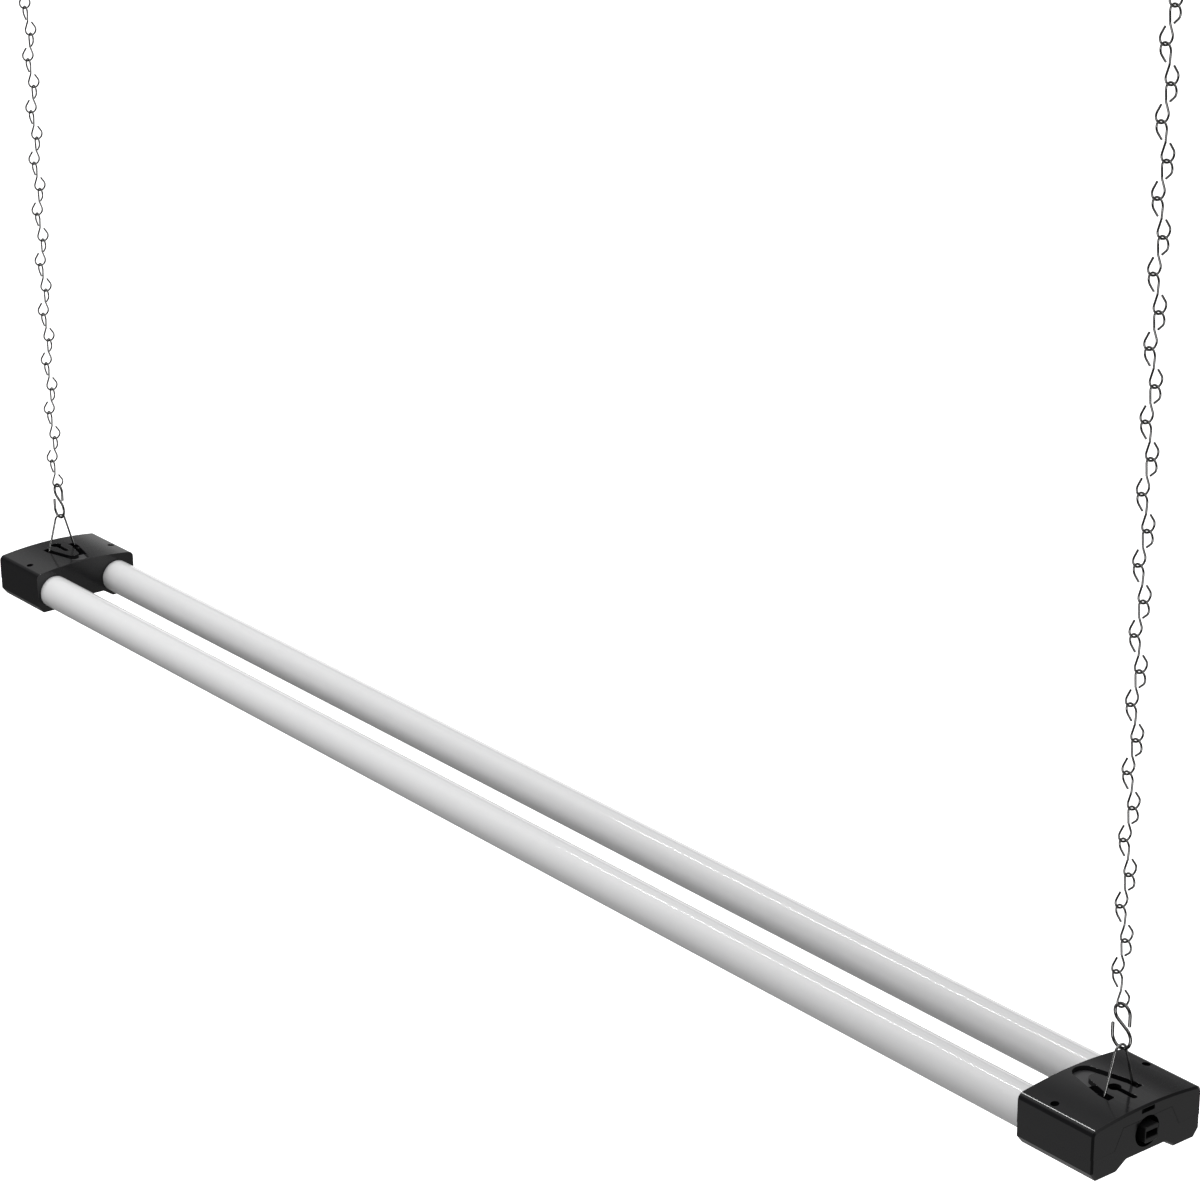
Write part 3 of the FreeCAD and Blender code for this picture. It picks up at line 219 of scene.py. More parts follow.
# The same plastic where the tool is etched for grip, in the finger nose: matt and greyer.
ETCHED_ABS = Finish("etched_abs_black", "#3c3c3d", "#4a4a4b", 0.6, 0.05, 0.5, 0.01)
# Glass-filled nylon of the connectors: matt, deep black.
NYLON = Finish("moulded_nylon_black", "#141415", "#1a1a1b", 0.38, 0.04, 0.4, 0.002)
# Extruded opal polycarbonate: white, glossy, with very faint lines along the tube.
OPAL = Finish(
    "extruded_opal_polycarbonate", "#ececec", "#e8e8e9", 0.06, 0.01, 1.2, 0.0001, stretch=EXTRUDED)
# White polycarbonate plugs, moulded and slightly matt.
WHITE_PLUG = Finish("moulded_polycarbonate_white", "#e4e4e2", "#dcdcda", 0.4, 0.04, 0.4, 0.006)
# Zinc plate on drawn steel wire: grey and mirror-like, with duller patches where the bath left them.
ZINC = Finish("zinc_plated_wire", "#8e8e8d", "#707070", 0.1, 0.03, 0.5, 0.0004, 1.0, DRAWN)
# Nickel plate on the wire of the bails: a little brighter, and its reflections less sharp.
NICKEL = Finish("nickel_plated_wire", "#b4b4b3", "#9c9c9b", 0.15, 0.04, 0.5, 0.0004, 1.0, DRAWN)
# Black oxide on the cover screws: dark, dry, faintly metallic.
BLACK_OXIDE = Finish("black_oxide_steel", "#1a1a1b", "#262627", 0.45, 0.05, 0.25, 0.008, metallic=0.6)
# White solder mask on the LED boards: even, semi-gloss.
WHITE_MASK = Finish("solder_mask_white", "#e9e9e4", "#e2e2dc", 0.3, 0.03, 0.6, 0.004)
# Green solder mask of the driver board: glassy over the copper.
GREEN_MASK = Finish("solder_mask_green", "#1c5a33", "#174c2b", 0.25, 0.03, 0.7, 0.006)
# Phosphor over the LED chips: a pale yellow gel.
PHOSPHOR = Finish("led_phosphor_gel", "#f0e08a", "#e8d67c", 0.2, 0.03, 0.5, 0.01)
# Extruded aluminium heat sink: plain mill finish with die lines along the tube.
ALUMINIUM = Finish("mill_finish_aluminium", "#c3c5c7", "#b4b6b8", 0.34, 0.05, 0.4, 0.01, 1.0, EXTRUDED)
# Stamped brass contacts: warm, slightly brushed.
BRASS = Finish("stamped_brass", "#c9a458", "#b8944c", 0.25, 0.04, 0.3, 0.004, 1.0, BRUSHED)
# Film and can sleeves on the driver: glossy dark plastic.
SLEEVE = Finish("printed_board_parts", "#26282b", "#303236", 0.35, 0.05, 0.6, 0.01)
# PVC insulation of the leads: soft white, satin.
PVC = Finish("pvc_lead_insulation", "#dededb", "#d2d2ce", 0.4, 0.04, 0.5, 0.006)

SLOT_FINISHES = {
    "black_plastic": UPPER_ABS,
    "socket_plastic": NYLON,
    "opal_plastic": OPAL,
    "white_plastic": WHITE_PLUG,
    "circuit_board": WHITE_MASK,
    "driver_board": GREEN_MASK,
    "led": PHOSPHOR,
    "aluminium": ALUMINIUM,
    "brass": BRASS,
    "black_screw": BLACK_OXIDE,
    "dark_component": SLEEVE,
    "lead": PVC,
    "zinc_chain": ZINC,
    "zinc_wire": ZINC,
}


# ---- Meshes ----
def shade(mesh: Mesh, crease: float) -> None:
    """Shade a mesh smooth, apart from edges that bend by more than crease degrees."""
    mesh.polygons.foreach_set("use_smooth", np.ones(len(mesh.polygons), dtype=bool))
    mesh.set_sharp_from_angle(angle=math.radians(crease))


def show(name: str, data: ID) -> Object:
    """Put a mesh, light or camera into the scene.

    Args:
        name: the object's name.
        data: what it shows.

    Returns:
        The object, at the origin.
    """
    thing = bpy.data.objects.new(name, data)
    bpy.context.scene.collection.objects.link(thing)
    return thing


@dataclass
class Shell:
    """Points with the four-sided and three-sided faces between them."""

    points: np.ndarray
    quads: np.ndarray
    triangles: np.ndarray

    def copies(self, placements: list[Matrix]) -> "Shell":
        """The shell repeated once for each placement.

        Args:
            placements: where each copy goes.

        Returns:
            One shell that holds all the copies.
        """
        turns = np.array([[row[:3] for row in placement[:3]] for placement in placements])
        shifts = np.array([placement.translation[:] for placement in placements])
        points = np.einsum("kij,nj->kni", turns, self.points) + shifts[:, None, :]
        offsets = (np.arange(len(placements)) * len(self.points))[:, None, None]
        return Shell(
            points.reshape(-1, 3),
            (self.quads[None] + offsets).reshape(-1, 4),
            (self.triangles[None] + offsets).reshape(-1, 3))

    def joined(self, other: "Shell") -> "Shell":
        """This shell and another as one.

        Args:
            other: the shell that is added.

        Returns:
            One shell that holds both.
        """
        shift = len(self.points)
        return Shell(
            np.concatenate([self.points, other.points]),
            np.concatenate([self.quads, other.quads + shift]),
            np.concatenate([self.triangles, other.triangles + shift]))

    def piece(self, name: str, finish: Finish) -> Object:
        """Make the Blender object.

        Args:
            name: the object's name.
            finish: what it is made of.

        Returns:
            The object, at the origin, with its place in its mesh.
        """
        mesh = bpy.data.meshes.new(name)
        mesh.from_pydata(self.points * MM, [], self.quads.tolist() + self.triangles.tolist())
        shade(mesh, CREASE)
        mesh.materials.append(finish.material())
        return show(name, mesh)


def full_turn(sides: int) -> np.ndarray:
    """Even angles round a circle, in radians."""
    return np.linspace(0.0, 2.0 * math.pi, sides, endpoint=False)


def tube_of_rings(rings: np.ndarray) -> Shell:
    """Join rings of points into a closed skin, with a fan of triangles over each end.

    Args:
        rings: points as (ring, place round the ring, xyz).

    Returns:
        The closed shell; ring r, place p is joined to ring r + 1 and place p + 1, which wraps.
    """
    count, sides = rings.shape[:2]
    grid = np.arange(count * sides).reshape(count, sides)
    after = np.roll(grid, -1, axis=1)
    quads = np.stack([grid[:-1], after[:-1], after[1:], grid[1:]], axis=-1).reshape(-1, 4)
    poles = rings[[0, -1]].mean(axis=1)
    first, last = count * sides, count * sides + 1
    start = np.stack([after[0], grid[0], np.full(sides, first)], axis=-1)
    finish = np.stack([grid[-1], after[-1], np.full(sides, last)], axis=-1)
    return Shell(np.concatenate([rings.reshape(-1, 3), poles]), quads, np.concatenate([start, finish]))


def wire(path: np.ndarray, facing: np.ndarray, radius: float, sides: int) -> Shell:
    """Round wire along a path, with its cut ends slightly rounded.

    Each point of the skin is path + radius * (cos a * facing + sin a * side), where side is square
    to the path's direction and to facing.

    Args:
        path: points of the centre line, in millimetres.
        facing: a direction at each point, roughly square to the path.
        radius: half the wire's diameter.
        sides: points round the wire.

    Returns:
        The wire's closed skin.
    """
    along = np.gradient(path, axis=0)
    along /= np.linalg.norm(along, axis=1, keepdims=True)
    side = np.cross(along, facing)
    side /= np.linalg.norm(side, axis=1, keepdims=True)
    front = np.cross(side, along)
    angle = full_turn(sides)
    cut = radius * WIRE_END
    after_start = path[:1] + along[:1] * cut
    before_finish = path[-1:] - along[-1:] * cut
    path = np.concatenate([path[:1], after_start, path[1:-1], before_finish, path[-1:]])
    pick = np.concatenate([[0], np.arange(len(along)), [len(along) - 1]])
    radii = np.full(len(path), radius)
    radii[[0, -1]] = radius - cut
    to_front = np.cos(angle)[None, :, None] * front[pick][:, None]
    to_side = np.sin(angle)[None, :, None] * side[pick][:, None]
    return tube_of_rings(path[:, None] + radii[:, None, None] * (to_front + to_side))


def arc(centre: Pair, radius: float, start: float, finish: float, count: int) -> np.ndarray:
    """Points of an arc: centre + radius * (cos a, sin a), with a even from start to finish.

    Args:
        centre: across and up, in millimetres.
        radius: in millimetres.
        start: first angle in degrees.
        finish: last angle in degrees.
        count: how many points.

    Returns:
        The points as (count, 2).
    """
    angle = np.radians(np.linspace(start, finish, count))
    return np.stack([centre[0] + radius * np.cos(angle), centre[1] + radius * np.sin(angle)], axis=-1)


def run(start: Pair, finish: Pair, count: int) -> np.ndarray:
    """Points of a straight run, without its last point.

    Args:
        start: first point, across and up.
        finish: where the run would end.
        count: how many points.

    Returns:
        The points as (count, 2).
    """
    share = np.linspace(0.0, 1.0, count, endpoint=False)[:, None]
    return np.array(start) * (1 - share) + np.array(finish) * share


def rounded(bends: list[Pair], radius: float) -> np.ndarray:
    """A path whose bends are arcs that touch both their runs: an arc's centre is radius / sin(half
    the bend's angle) from the bend, on the line that halves it.

    Args:
        bends: the first point, the bends and the last point, across and up.
        radius: of every arc.

    Returns:
        The points as (n, 2).
    """
    points = np.array(bends)
    pieces = [points[:1]]
    for before, corner, after in zip(points[:-2], points[1:-1], points[2:]):
        to_before = (before - corner) / np.linalg.norm(before - corner)
        to_after = (after - corner) / np.linalg.norm(after - corner)
        half = math.acos(float(np.clip(to_before @ to_after, -1, 1))) / 2
        middle = to_before + to_after
        centre = corner + middle / np.linalg.norm(middle) * radius / math.sin(half)
        touch = corner + to_before * radius / math.tan(half)
        other = corner + to_after * radius / math.tan(half)
        first, last = touch - centre, other - centre
        share = np.linspace(0.0, 1.0, BEND_POINTS)[:, None]
        chord = first * (1 - share) + last * share
        pieces.append(centre + chord / np.linalg.norm(chord, axis=1, keepdims=True) * radius)
    pieces.append(points[-1:])
    return np.concatenate(pieces)


def in_plane(path: np.ndarray, plane: Plane, centre: Pair) -> tuple[np.ndarray, np.ndarray]:
    """Stand a flat path up in one of the two upright planes.

    Args:
        path: points as across and up.
        plane: the plane that it lies in.
        centre: X and Y of its middle line.

    Returns:
        The points in space, and the direction square to the plane at each.
    """
    across, out, up = plane.value
    points = np.zeros((len(path), 3))
    points[:, across] = path[:, 0]
    points[:, up] = path[:, 1]
    points[:, :2] += centre
    facing = np.zeros_like(points)
    facing[:, out] = 1.0
    return points, facing


def touching_angle(point: Pair, centre: Pair, radius: float, hand: int) -> float:
    """Where the line from a point touches a circle.

    Args:
        point: the outside point.
        centre: the circle's centre.
        radius: the circle's radius.
        hand: 1 for the left touching point as seen from the point, -1 for the right one.

    Returns:
        The angle on the circle in degrees.
    """
    across, up = point[0] - centre[0], point[1] - centre[1]
    towards = math.degrees(math.atan2(up, across))
    spread = math.degrees(math.acos(radius / math.hypot(across, up)))
    angle = towards - hand * spread
    return angle % 360 if hand > 0 else (angle + 180) % 360 - 180


# ---- Where things are ----
@dataclass
class Layout:
    """Heights and stations in millimetres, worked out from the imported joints."""

    frame: dict
    # Gap between two wires that hang in each other.
    hang_clearance: float = 0.2
    # The bails' feet above the tubes' axes.
    bail_pivot_height: float = 16.4

    def joint(self, name: str) -> Vector:
        """A joint's place in millimetres."""
        found = [joint for joint in self.frame["joints"] if joint["name"] == name]
        return Vector(found[0]["pos_m"]) / MM

    @property
    def hang_x(self) -> float:
        """How far each hanger stands from the middle of the light."""
        return self.joint("length_swing").x

    @property
    def ceiling_bowl(self) -> float:
        """Bottom of the ceiling hooks' centre line."""
        return self.joint("side_swing").z

    @property
    def upper_hook_bottom(self) -> float:
        """Bottom of the upper S-hooks' centre line."""
        return self.joint("length_swing").z

    @property
    def bail_pivot(self) -> float:
        """Height of the bails' feet."""
        return self.joint("near_bail_pivot").z

    @property
    def tube_axis(self) -> float:
        """Height of the tubes' axes."""
        return self.bail_pivot - self.bail_pivot_height


# ---- Hanging hardware ----
@dataclass
class SHook:
    """An open S-hook: two bowls joined by a slanted wire that touches both, with straight tips."""

    layout: Layout
    wire: float = 2.0
    lower_radius: float = 6.9
    upper_radius: float = 5.7
    height: float = 27.4
    tip_length: float = 6.5
    bowl_points: int = 30
    tip_points: int = 5
    spine_points: int = 6
    sides: int = 20

    def path(self, bottom: float) -> np.ndarray:
        """The centre line. The spine touches both bowls: cos(lean) is the sum of their radii over the
        distance between their centres.

        Args:
            bottom: height of the lower bowl's centre line.

        Returns:
            The points as across and up, from the lower tip to the upper one.
        """
        low = (0.0, bottom + self.lower_radius)
        high = (0.0, bottom + self.height - self.upper_radius)
        lean = math.degrees(math.acos((self.lower_radius + self.upper_radius) / (high[1] - low[1])))
        lower = arc(low, self.lower_radius, 180, 450 - lean, self.bowl_points)
        upper = arc(high, self.upper_radius, 270 - lean, 0, self.bowl_points)
        lower_tip = (-self.lower_radius, low[1] + self.tip_length)
        upper_tip = (self.upper_radius, high[1] - self.tip_length)
        first = run(lower_tip, tuple(lower[0]), self.tip_points)
        middle = run(tuple(lower[-1]), tuple(upper[0]), self.spine_points)[1:]
        last = run(tuple(upper[-1]), upper_tip, self.tip_points)[1:]
        return np.concatenate([first, lower, middle, upper, last, [upper_tip]])

    def build(self, end: End, upper: bool, bottom: float) -> Object:
        """Make one S-hook.

        Args:
            end: which end of the light.
            upper: True for the hook at the ceiling, which lies across the light.
            bottom: height of the lower bowl's centre line.

        Returns:
            The S-hook.
        """
        word = "upper" if upper else "lower"
        plane = Plane.ACROSS if upper else Plane.ALONG
        path, facing = in_plane(self.path(bottom), plane, (end.value * self.layout.hang_x, 0.0))
        bent = wire(path, facing, self.wire / 2, self.sides)
        piece = bent.piece("%s_%s_s_hook_wire" % (end.word, word), ZINC)
        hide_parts("%s_%s_s_hook" % (end.word, word))
        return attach(piece, "upper_hooks" if upper else end.word + "_hanger")


@dataclass
class JackChain:
    """A chain of links bent from wire: each has an upper and a lower loop, square to each other,
    whose open ends stand beside the spine."""

    layout: Layout
    hook: SHook
    links: int = 30
    wire: float = 1.3
    height: float = 21.57
    clearance: float = 0.2
    loop_radius: float = 4.15
    # The loops' centres, to the side of the spine.
    upper_offset: float = 3.6
    lower_offset: float = 2.0
    # The open ends, to the side of the spine and above or below the middle of the link.
    end_gap: float = 3.0
    end_rise: float = 0.75
    # Degrees that the first link is turned about the vertical.
    turn: float = -8.0
    # Length of spine along which the skin turns from one loop's plane to the other's.
    twist: float = 4.0
    loop_points: int = 22
    tip_points: int = 4
    spine_points: int = 5
    sides: int = 12

    def loop(self, offset: float) -> np.ndarray:
        """Half a link's centre line: an arc, with the runs that touch it from the open end and the
        spine.

        Args:
            offset: the loop's centre, to the side of the spine.

        Returns:
            The points as across and up, from the open end to just above the middle of the link.
        """
        centre = (offset, self.height / 2 - self.loop_radius)
        end = (self.end_gap, self.end_rise)
        leaving = touching_angle(end, centre, self.loop_radius, -1)
        spine = touching_angle((0.0, 0.0), centre, self.loop_radius, 1)
        curve = arc(centre, self.loop_radius, leaving, spine, self.loop_points)
        tip = run(end, tuple(curve[0]), self.tip_points)
        spine_run = run(tuple(curve[-1]), (0, 0), self.spine_points)[1:]
        return np.concatenate([tip, curve, spine_run])

    def link(self) -> Shell:
        """One link about the middle of its spine. The skin's facing turns by a quarter over the
        length twist: at height z the angle is (1/2 - z / twist) of a quarter turn.

        Returns:
            The link's closed skin.
        """
        upper, lower = self.loop(self.upper_offset), self.loop(self.lower_offset)[::-1]
        first = np.stack([upper[:, 0], np.zeros(len(upper)), upper[:, 1]], axis=-1)
        second = np.stack([np.zeros(len(lower)), -lower[:, 0], -lower[:, 1]], axis=-1)
        path = np.concatenate([first, [[0.0, 0.0, 0.0]], second])
        angle = np.clip(0.5 - path[:, 2] / self.twist, 0.0, 1.0) * math.pi / 2
        angle[:len(first) - self.spine_points] = 0.0
        angle[len(first) + self.spine_points + 1:] = math.pi / 2
        facing = np.stack([np.sin(angle), np.cos(angle), np.zeros(len(path))], axis=-1)
        return wire(path, facing, self.wire / 2, self.sides)

    def build(self, end: End) -> Object:
        """Hang the links below the upper S-hook.

        Args:
            end: which end of the light.

        Returns:
            The chain as one piece.
        """
        pitch = self.height - self.wire - self.clearance
        top = self.layout.upper_hook_bottom + (self.hook.wire + self.wire) / 2 + self.layout.hang_clearance
        turned = Matrix.Rotation(math.radians(self.turn), 4, "Z")
        halfway = Matrix.Rotation(math.pi, 4, "Z")
        placements = []
        for index in range(self.links):
            even = index % 2 == 0
            offset = Vector((-self.upper_offset, 0, 0)) if even else Vector((0, -self.lower_offset, 0))
            spot = turned @ offset
            spot += Vector((end.value * self.layout.hang_x, 0, top - index * pitch - self.height / 2))
            placements.append(Matrix.Translation(spot) @ (turned if even else halfway @ turned))
        piece = self.link().copies(placements).piece(end.word + "_chain_links", ZINC)
        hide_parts(end.word + "_chain")
        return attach(piece, end.word + "_hanger")


@dataclass
class ScrewHook:
    """A screw hook in the ceiling: pointed wood thread, shank and an open bowl."""

    layout: Layout
    wire: float = 3.2
    bowl_radius: float = 6.0
    # Degrees on the bowl's circle: where the neck joins it, and its open end.
    bowl_start: float = 140.0
    bowl_finish: float = 385.0
    # The shank's bend above the bowl's centre, and the bend's radius.
    neck_rise: float = 10.5
    neck_bend: float = 5.0
    thread_length: float = 16.0
    thread_pitch: float = 1.5
    core_radius: float = 1.25
    # Length of the point, and the share of the full radius that it ends in.
    point: float = 4.0
    blunt: float = 0.08
    bowl_points: int = 40
    thread_rings: int = 140
    sides: int = 28

    def thread(self, middle: float) -> Shell:
        """The thread in the ceiling. At angle a and height z its radius is
        core + (crest - core) * (1 - |2 * frac(z / pitch - a / turn) - 1|), drawn in to a point.

        Args:
            middle: X of the hook's middle line.

        Returns:
            The thread's closed skin.
        """
        height = np.linspace(self.thread_length, 0.0, self.thread_rings)[:, None]
        angle = full_turn(self.sides)[None, :]
        phase = (height / self.thread_pitch - angle / (2.0 * math.pi)) % 1.0
        crest = self.wire / 2 - self.core_radius
        radius = self.core_radius + crest * (1.0 - np.abs(2.0 * phase - 1.0))
        radius = radius * np.clip((self.thread_length - height) / self.point + self.blunt, 0.0, 1.0)
        return tube_of_rings(np.stack([
            middle + radius * np.cos(angle),
            -radius * np.sin(angle),
            np.broadcast_to(height, radius.shape)], axis=-1))

    def build(self, end: End) -> Object:
        """Make the hook.

        Args:
            end: which end of the light.

        Returns:
            The hook.
        """
        middle = end.value * self.layout.hang_x
        centre = self.layout.ceiling_bowl + self.bowl_radius
        bowl = arc((0.0, centre), self.bowl_radius, self.bowl_start, self.bowl_finish, self.bowl_points)
        neck = rounded([(0.0, 0.0), (0.0, centre + self.neck_rise), tuple(bowl[0])], self.neck_bend)
        path, facing = in_plane(np.concatenate([neck[:-1], bowl]), Plane.ALONG, (middle, 0.0))
        shank = wire(path, facing, self.wire / 2, self.sides)
        piece = shank.joined(self.thread(middle)).piece(end.word + "_screw_hook", ZINC)
        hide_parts(end.word + "_ceiling_hook")
        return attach(piece, "ceiling_hooks")


@dataclass
class Bail:
    """The folding wire bail: feet in the pivot holes, leaning legs and a rounded top bend."""

    layout: Layout
    wire: float = 1.6
    # Half the distance between the legs at the feet, and at the ends of the top bend.
    half_foot: float = 12.3
    half_top: float = 4.2
    foot_length: float = 4.6
    height: float = 31.8
    # Height of the top bend, and radius of the bends at the feet.
    top_rise: float = 3.2
    corner: float = 1.3
    top_points: int = 26
    sides: int = 20

    def build(self, end: End) -> Object:
        """Make the bail. The top bend is an arc through both legs' ends: its radius is
        (half_top^2 + top_rise^2) / (2 * top_rise).

        Args:
            end: which end of the light.

        Returns:
            The bail.
        """
        radius = (self.half_top ** 2 + self.top_rise ** 2) / (2 * self.top_rise)
        sweep = math.degrees(math.atan2(self.half_top, radius - self.top_rise))
        top = arc((0.0, self.height - radius), radius, 90 + sweep, 90 - sweep, self.top_points)
        toe = (-self.half_foot - self.foot_length, 0.0)
        left = rounded([toe, (-self.half_foot, 0.0), tuple(top[0])], self.corner)
        right = left[::-1] * (-1.0, 1.0)
        path = np.concatenate([left[:-1], top, right[1:]]) + (0.0, self.layout.bail_pivot)
        path, facing = in_plane(path, Plane.ACROSS, (end.value * self.layout.hang_x, 0.0))
        piece = wire(path, facing, self.wire / 2, self.sides).piece(end.word + "_bail_wire", NICKEL)
        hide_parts(end.word + "_bail")
        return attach(piece, "near_hanger" if end is End.NEAR else "far_bail")


# ---- Tubes ----
@dataclass
class OpalTube:
    """A glossy opal tube, open at both ends and closed there by its plugs."""

    layout: Layout
    diameter: float = 25.6
    wall: float = 1.2
    half_length: float = 556.5
    axis_spacing: float = 56.6
    # The slant taken off the ends' outer edges.
    softening: float = 0.25
    sides: int = 128

    def build(self, word: str, side: int) -> Object:
        """Carry the wall's section round the axis: (x, r) of the section becomes
        (x, r cos a, r sin a).

        Args:
            word: front or rear.
            side: -1 for front, 1 for rear.

        Returns:
            The tube.
        """
        outer, inner, cut = self.diameter / 2, self.diameter / 2 - self.wall, self.softening
        length = self.half_length
        section = np.array([
            (-length, inner), (-length, outer - cut), (-length + cut, outer), (length - cut, outer),
            (length, outer - cut), (length, inner)])
        angle = full_turn(self.sides)
        reach = section[:, 1][:, None]
        points = np.stack([
            np.broadcast_to(section[:, 0][:, None], (len(section), self.sides)),
            side * self.axis_spacing / 2 + reach * np.cos(angle),
            self.layout.tube_axis + reach * np.sin(angle)], axis=-1)
        count = len(section)
        grid = np.arange(count * self.sides).reshape(count, self.sides)
        after = np.roll(grid, -1, axis=1)
        below, after_below = np.roll(grid, -1, axis=0), np.roll(after, -1, axis=0)
        quads = np.stack([grid, below, after_below, after], axis=-1).reshape(-1, 4)
        shell = Shell(points.reshape(-1, 3), quads, np.zeros((0, 3), dtype=int))
        piece = shell.piece(word + "_opal_tube", OPAL)
        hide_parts(word + "_tube")
        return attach(piece, "fixture")


# ---- Caps ----
@dataclass
class Moulding:
    """A moulded shell: the CAD node's own shape with its edges softened as a mould leaves them."""

    # Width of the rounded edges, and the steps in it.
    edge: float = 0.3
    segments: int = 2
    # Points that lie nearer to each other than this are one.
    weld: float = 0.001
    # Degrees: faces that differ by less are one flat, and edges that bend by more are rounded.
    flat: float = 0.5
    crease: float = 28.0
    # How much the larger faces lead the shading, up to 100.
    lead: int = 80
    # An etched floor faces up at least this much, and is this near to its height.
    upward: float = 0.99
    reach: float = 0.1

    def etch(self, mesh: Mesh, height: float) -> None:
        """Give the flat floors at one height the etched finish.

        Args:
            mesh: the moulding's mesh.
            height: the floors' height in metres.
        """
        mesh.materials.append(ETCHED_ABS.material())
        for face in mesh.polygons:
            if face.normal.z > self.upward and abs(face.center.z - height) < self.reach * MM:
                face.material_index = 1

    def build(
            self, frame: dict, node: str, name: str, finish: Finish, slot: str, body: str,
            etched: float | None = None) -> Object:
        """Copy a CAD node, merge its loose triangles into flat faces and round its edges.

        Args:
            node: the CAD node.
            name: the piece's name.
            finish: what it is made of.
            slot: the record's material slot; not used.
            body: the body it rides on.
            etched: height in metres of the floors with the etched finish, where it has any.

        Returns:
            The softened piece.
        """
        source = frame["nodes"][node]
        shape = bmesh.new()
        shape.from_mesh(source.data)
        bmesh.ops.remove_doubles(shape, verts=shape.verts, dist=self.weld * MM)
        bmesh.ops.dissolve_limit(
            shape, angle_limit=math.radians(self.flat), verts=shape.verts, edges=shape.edges)
        mesh = bpy.data.meshes.new(name)
        shape.to_mesh(mesh)
        shape.free()
        mesh.materials.append(finish.material())
        if etched is not None:
            self.etch(mesh, etched)
        shade(mesh, self.crease)
        piece = show(name, mesh)
        bevel = piece.modifiers.new("mould_edges", "BEVEL")
        bevel.width = self.edge * MM
        bevel.segments = self.segments
        bevel.limit_method = "ANGLE"
        bevel.angle_limit = math.radians(self.crease)
        bevel.use_clamp_overlap = True
        even = piece.modifiers.new("flats_lead", "WEIGHTED_NORMAL")
        even.keep_sharp = True
        even.weight = self.lead
        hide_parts(node)
        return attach(piece, body)


@dataclass
class CoverScrews:
    """The two pan-head screws of a cap, each with a cross recess, at the bottom of the wells."""

    layout: Layout
    # Distance from the middle of the light, half that between the screws, and their seat's height
    # above the tubes' axes.
    station: float = 563.5
    half_spacing: float = 37.0
    seat: float = 13.5
    head_radius: float = 2.4
    head_height: float = 1.8
    # The dome's fall: at the rim its height is sqrt(1 - fall) of the full height.
    fall: float = 0.75
    # Radius and length of the shank.
    shank: float = 1.4
    shank_length: float = 18.0
    # The cross: half an arm's width, its length and depth, and the slants along its sides and ends.
    recess_half: float = 0.35
    recess_reach: float = 1.4
    recess_depth: float = 0.9
    side_slant: float = 0.12
    end_slant: float = 0.2
    # The innermost ring, as a share of the head's radius.
    first_ring: float = 0.02
    rings: int = 40
    sides: int = 96

    def head(self) -> Shell:
        """A plain shank under a dome of height h * sqrt(1 - fall * (r / R)^2), less the cross: the
        lesser of |x| and |y| is the distance from an arm's middle, the greater that along it.

        Returns:
            The screw's closed skin, with the underside of its head at the origin.
        """
        radius = np.linspace(self.first_ring, 1.0, self.rings)[::-1][:, None] * self.head_radius
        angle = full_turn(self.sides)[None, :]
        x, y = radius * np.cos(angle), radius * np.sin(angle)
        dome = self.head_height * np.sqrt(1.0 - self.fall * (radius / self.head_radius) ** 2)
        inside = self.recess_half - np.minimum(abs(x), abs(y))
        before_end = self.recess_reach - np.maximum(abs(x), abs(y))
        arm = np.clip(inside / self.side_slant + 0.5, 0.0, 1.0)
        length = np.clip(before_end / self.end_slant + 0.5, 0.0, 1.0)
        z = np.broadcast_to(dome, x.shape) - self.recess_depth * arm * length
        top = np.stack([x, y, z], axis=-1)
        rim = top[:1].copy()
        rim[..., 2] = 0.0
        neck = np.stack([
            np.cos(angle[0]) * self.shank, np.sin(angle[0]) * self.shank, np.zeros(self.sides)],
            axis=-1)[None]
        foot = neck.copy()
        foot[..., 2] = -self.shank_length
        return tube_of_rings(np.concatenate([foot, neck, rim, top]))

    def build(self, end: End) -> Object:
        """Set the two screws.

        Args:
            end: which end of the light.

        Returns:
            Both screws as one piece.
        """
        height = self.layout.tube_axis + self.seat
        places = [
            Matrix.Translation((end.value * self.station, hand * self.half_spacing, height))
            for hand in (1, -1)]
        piece = self.head().copies(places).piece(end.word + "_pan_head_screws", BLACK_OXIDE)
        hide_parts(end.word + "_cover_screws")
        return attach(piece, "fixture")


@dataclass
class Cap:
    """One end cap: upper and lower cover, connector and screws."""

    layout: Layout
    end: End
    # Floor of the finger nose above the tubes' axes.
    nose_height: float = 17.0
    moulding: Moulding = field(default_factory=Moulding)

    def build(self) -> list[Object]:
        """Make the cap's pieces.

        Returns:
            The pieces.
        """
        word = self.end.word
        connector = "outlet" if self.end is End.NEAR else "inlet"
        rows = (
            (word + "_top_cover", word + "_upper_shell", UPPER_ABS, "black_plastic"),
            (word + "_bottom_cover", word + "_lower_shell", LOWER_ABS_SHADED, "black_plastic"),
            (connector + "_socket", connector + "_shroud", NYLON, "socket_plastic"),
        )
        nose = (self.layout.tube_axis + self.nose_height) * MM
        pieces = []
        for node, name, finish, slot in rows:
            etched = nose if finish is UPPER_ABS else None
            pieces.append(
                self.moulding.build(self.layout.frame, node, name, finish, slot, "fixture", etched))
        pieces.append(CoverScrews(self.layout).build(self.end))
        return pieces


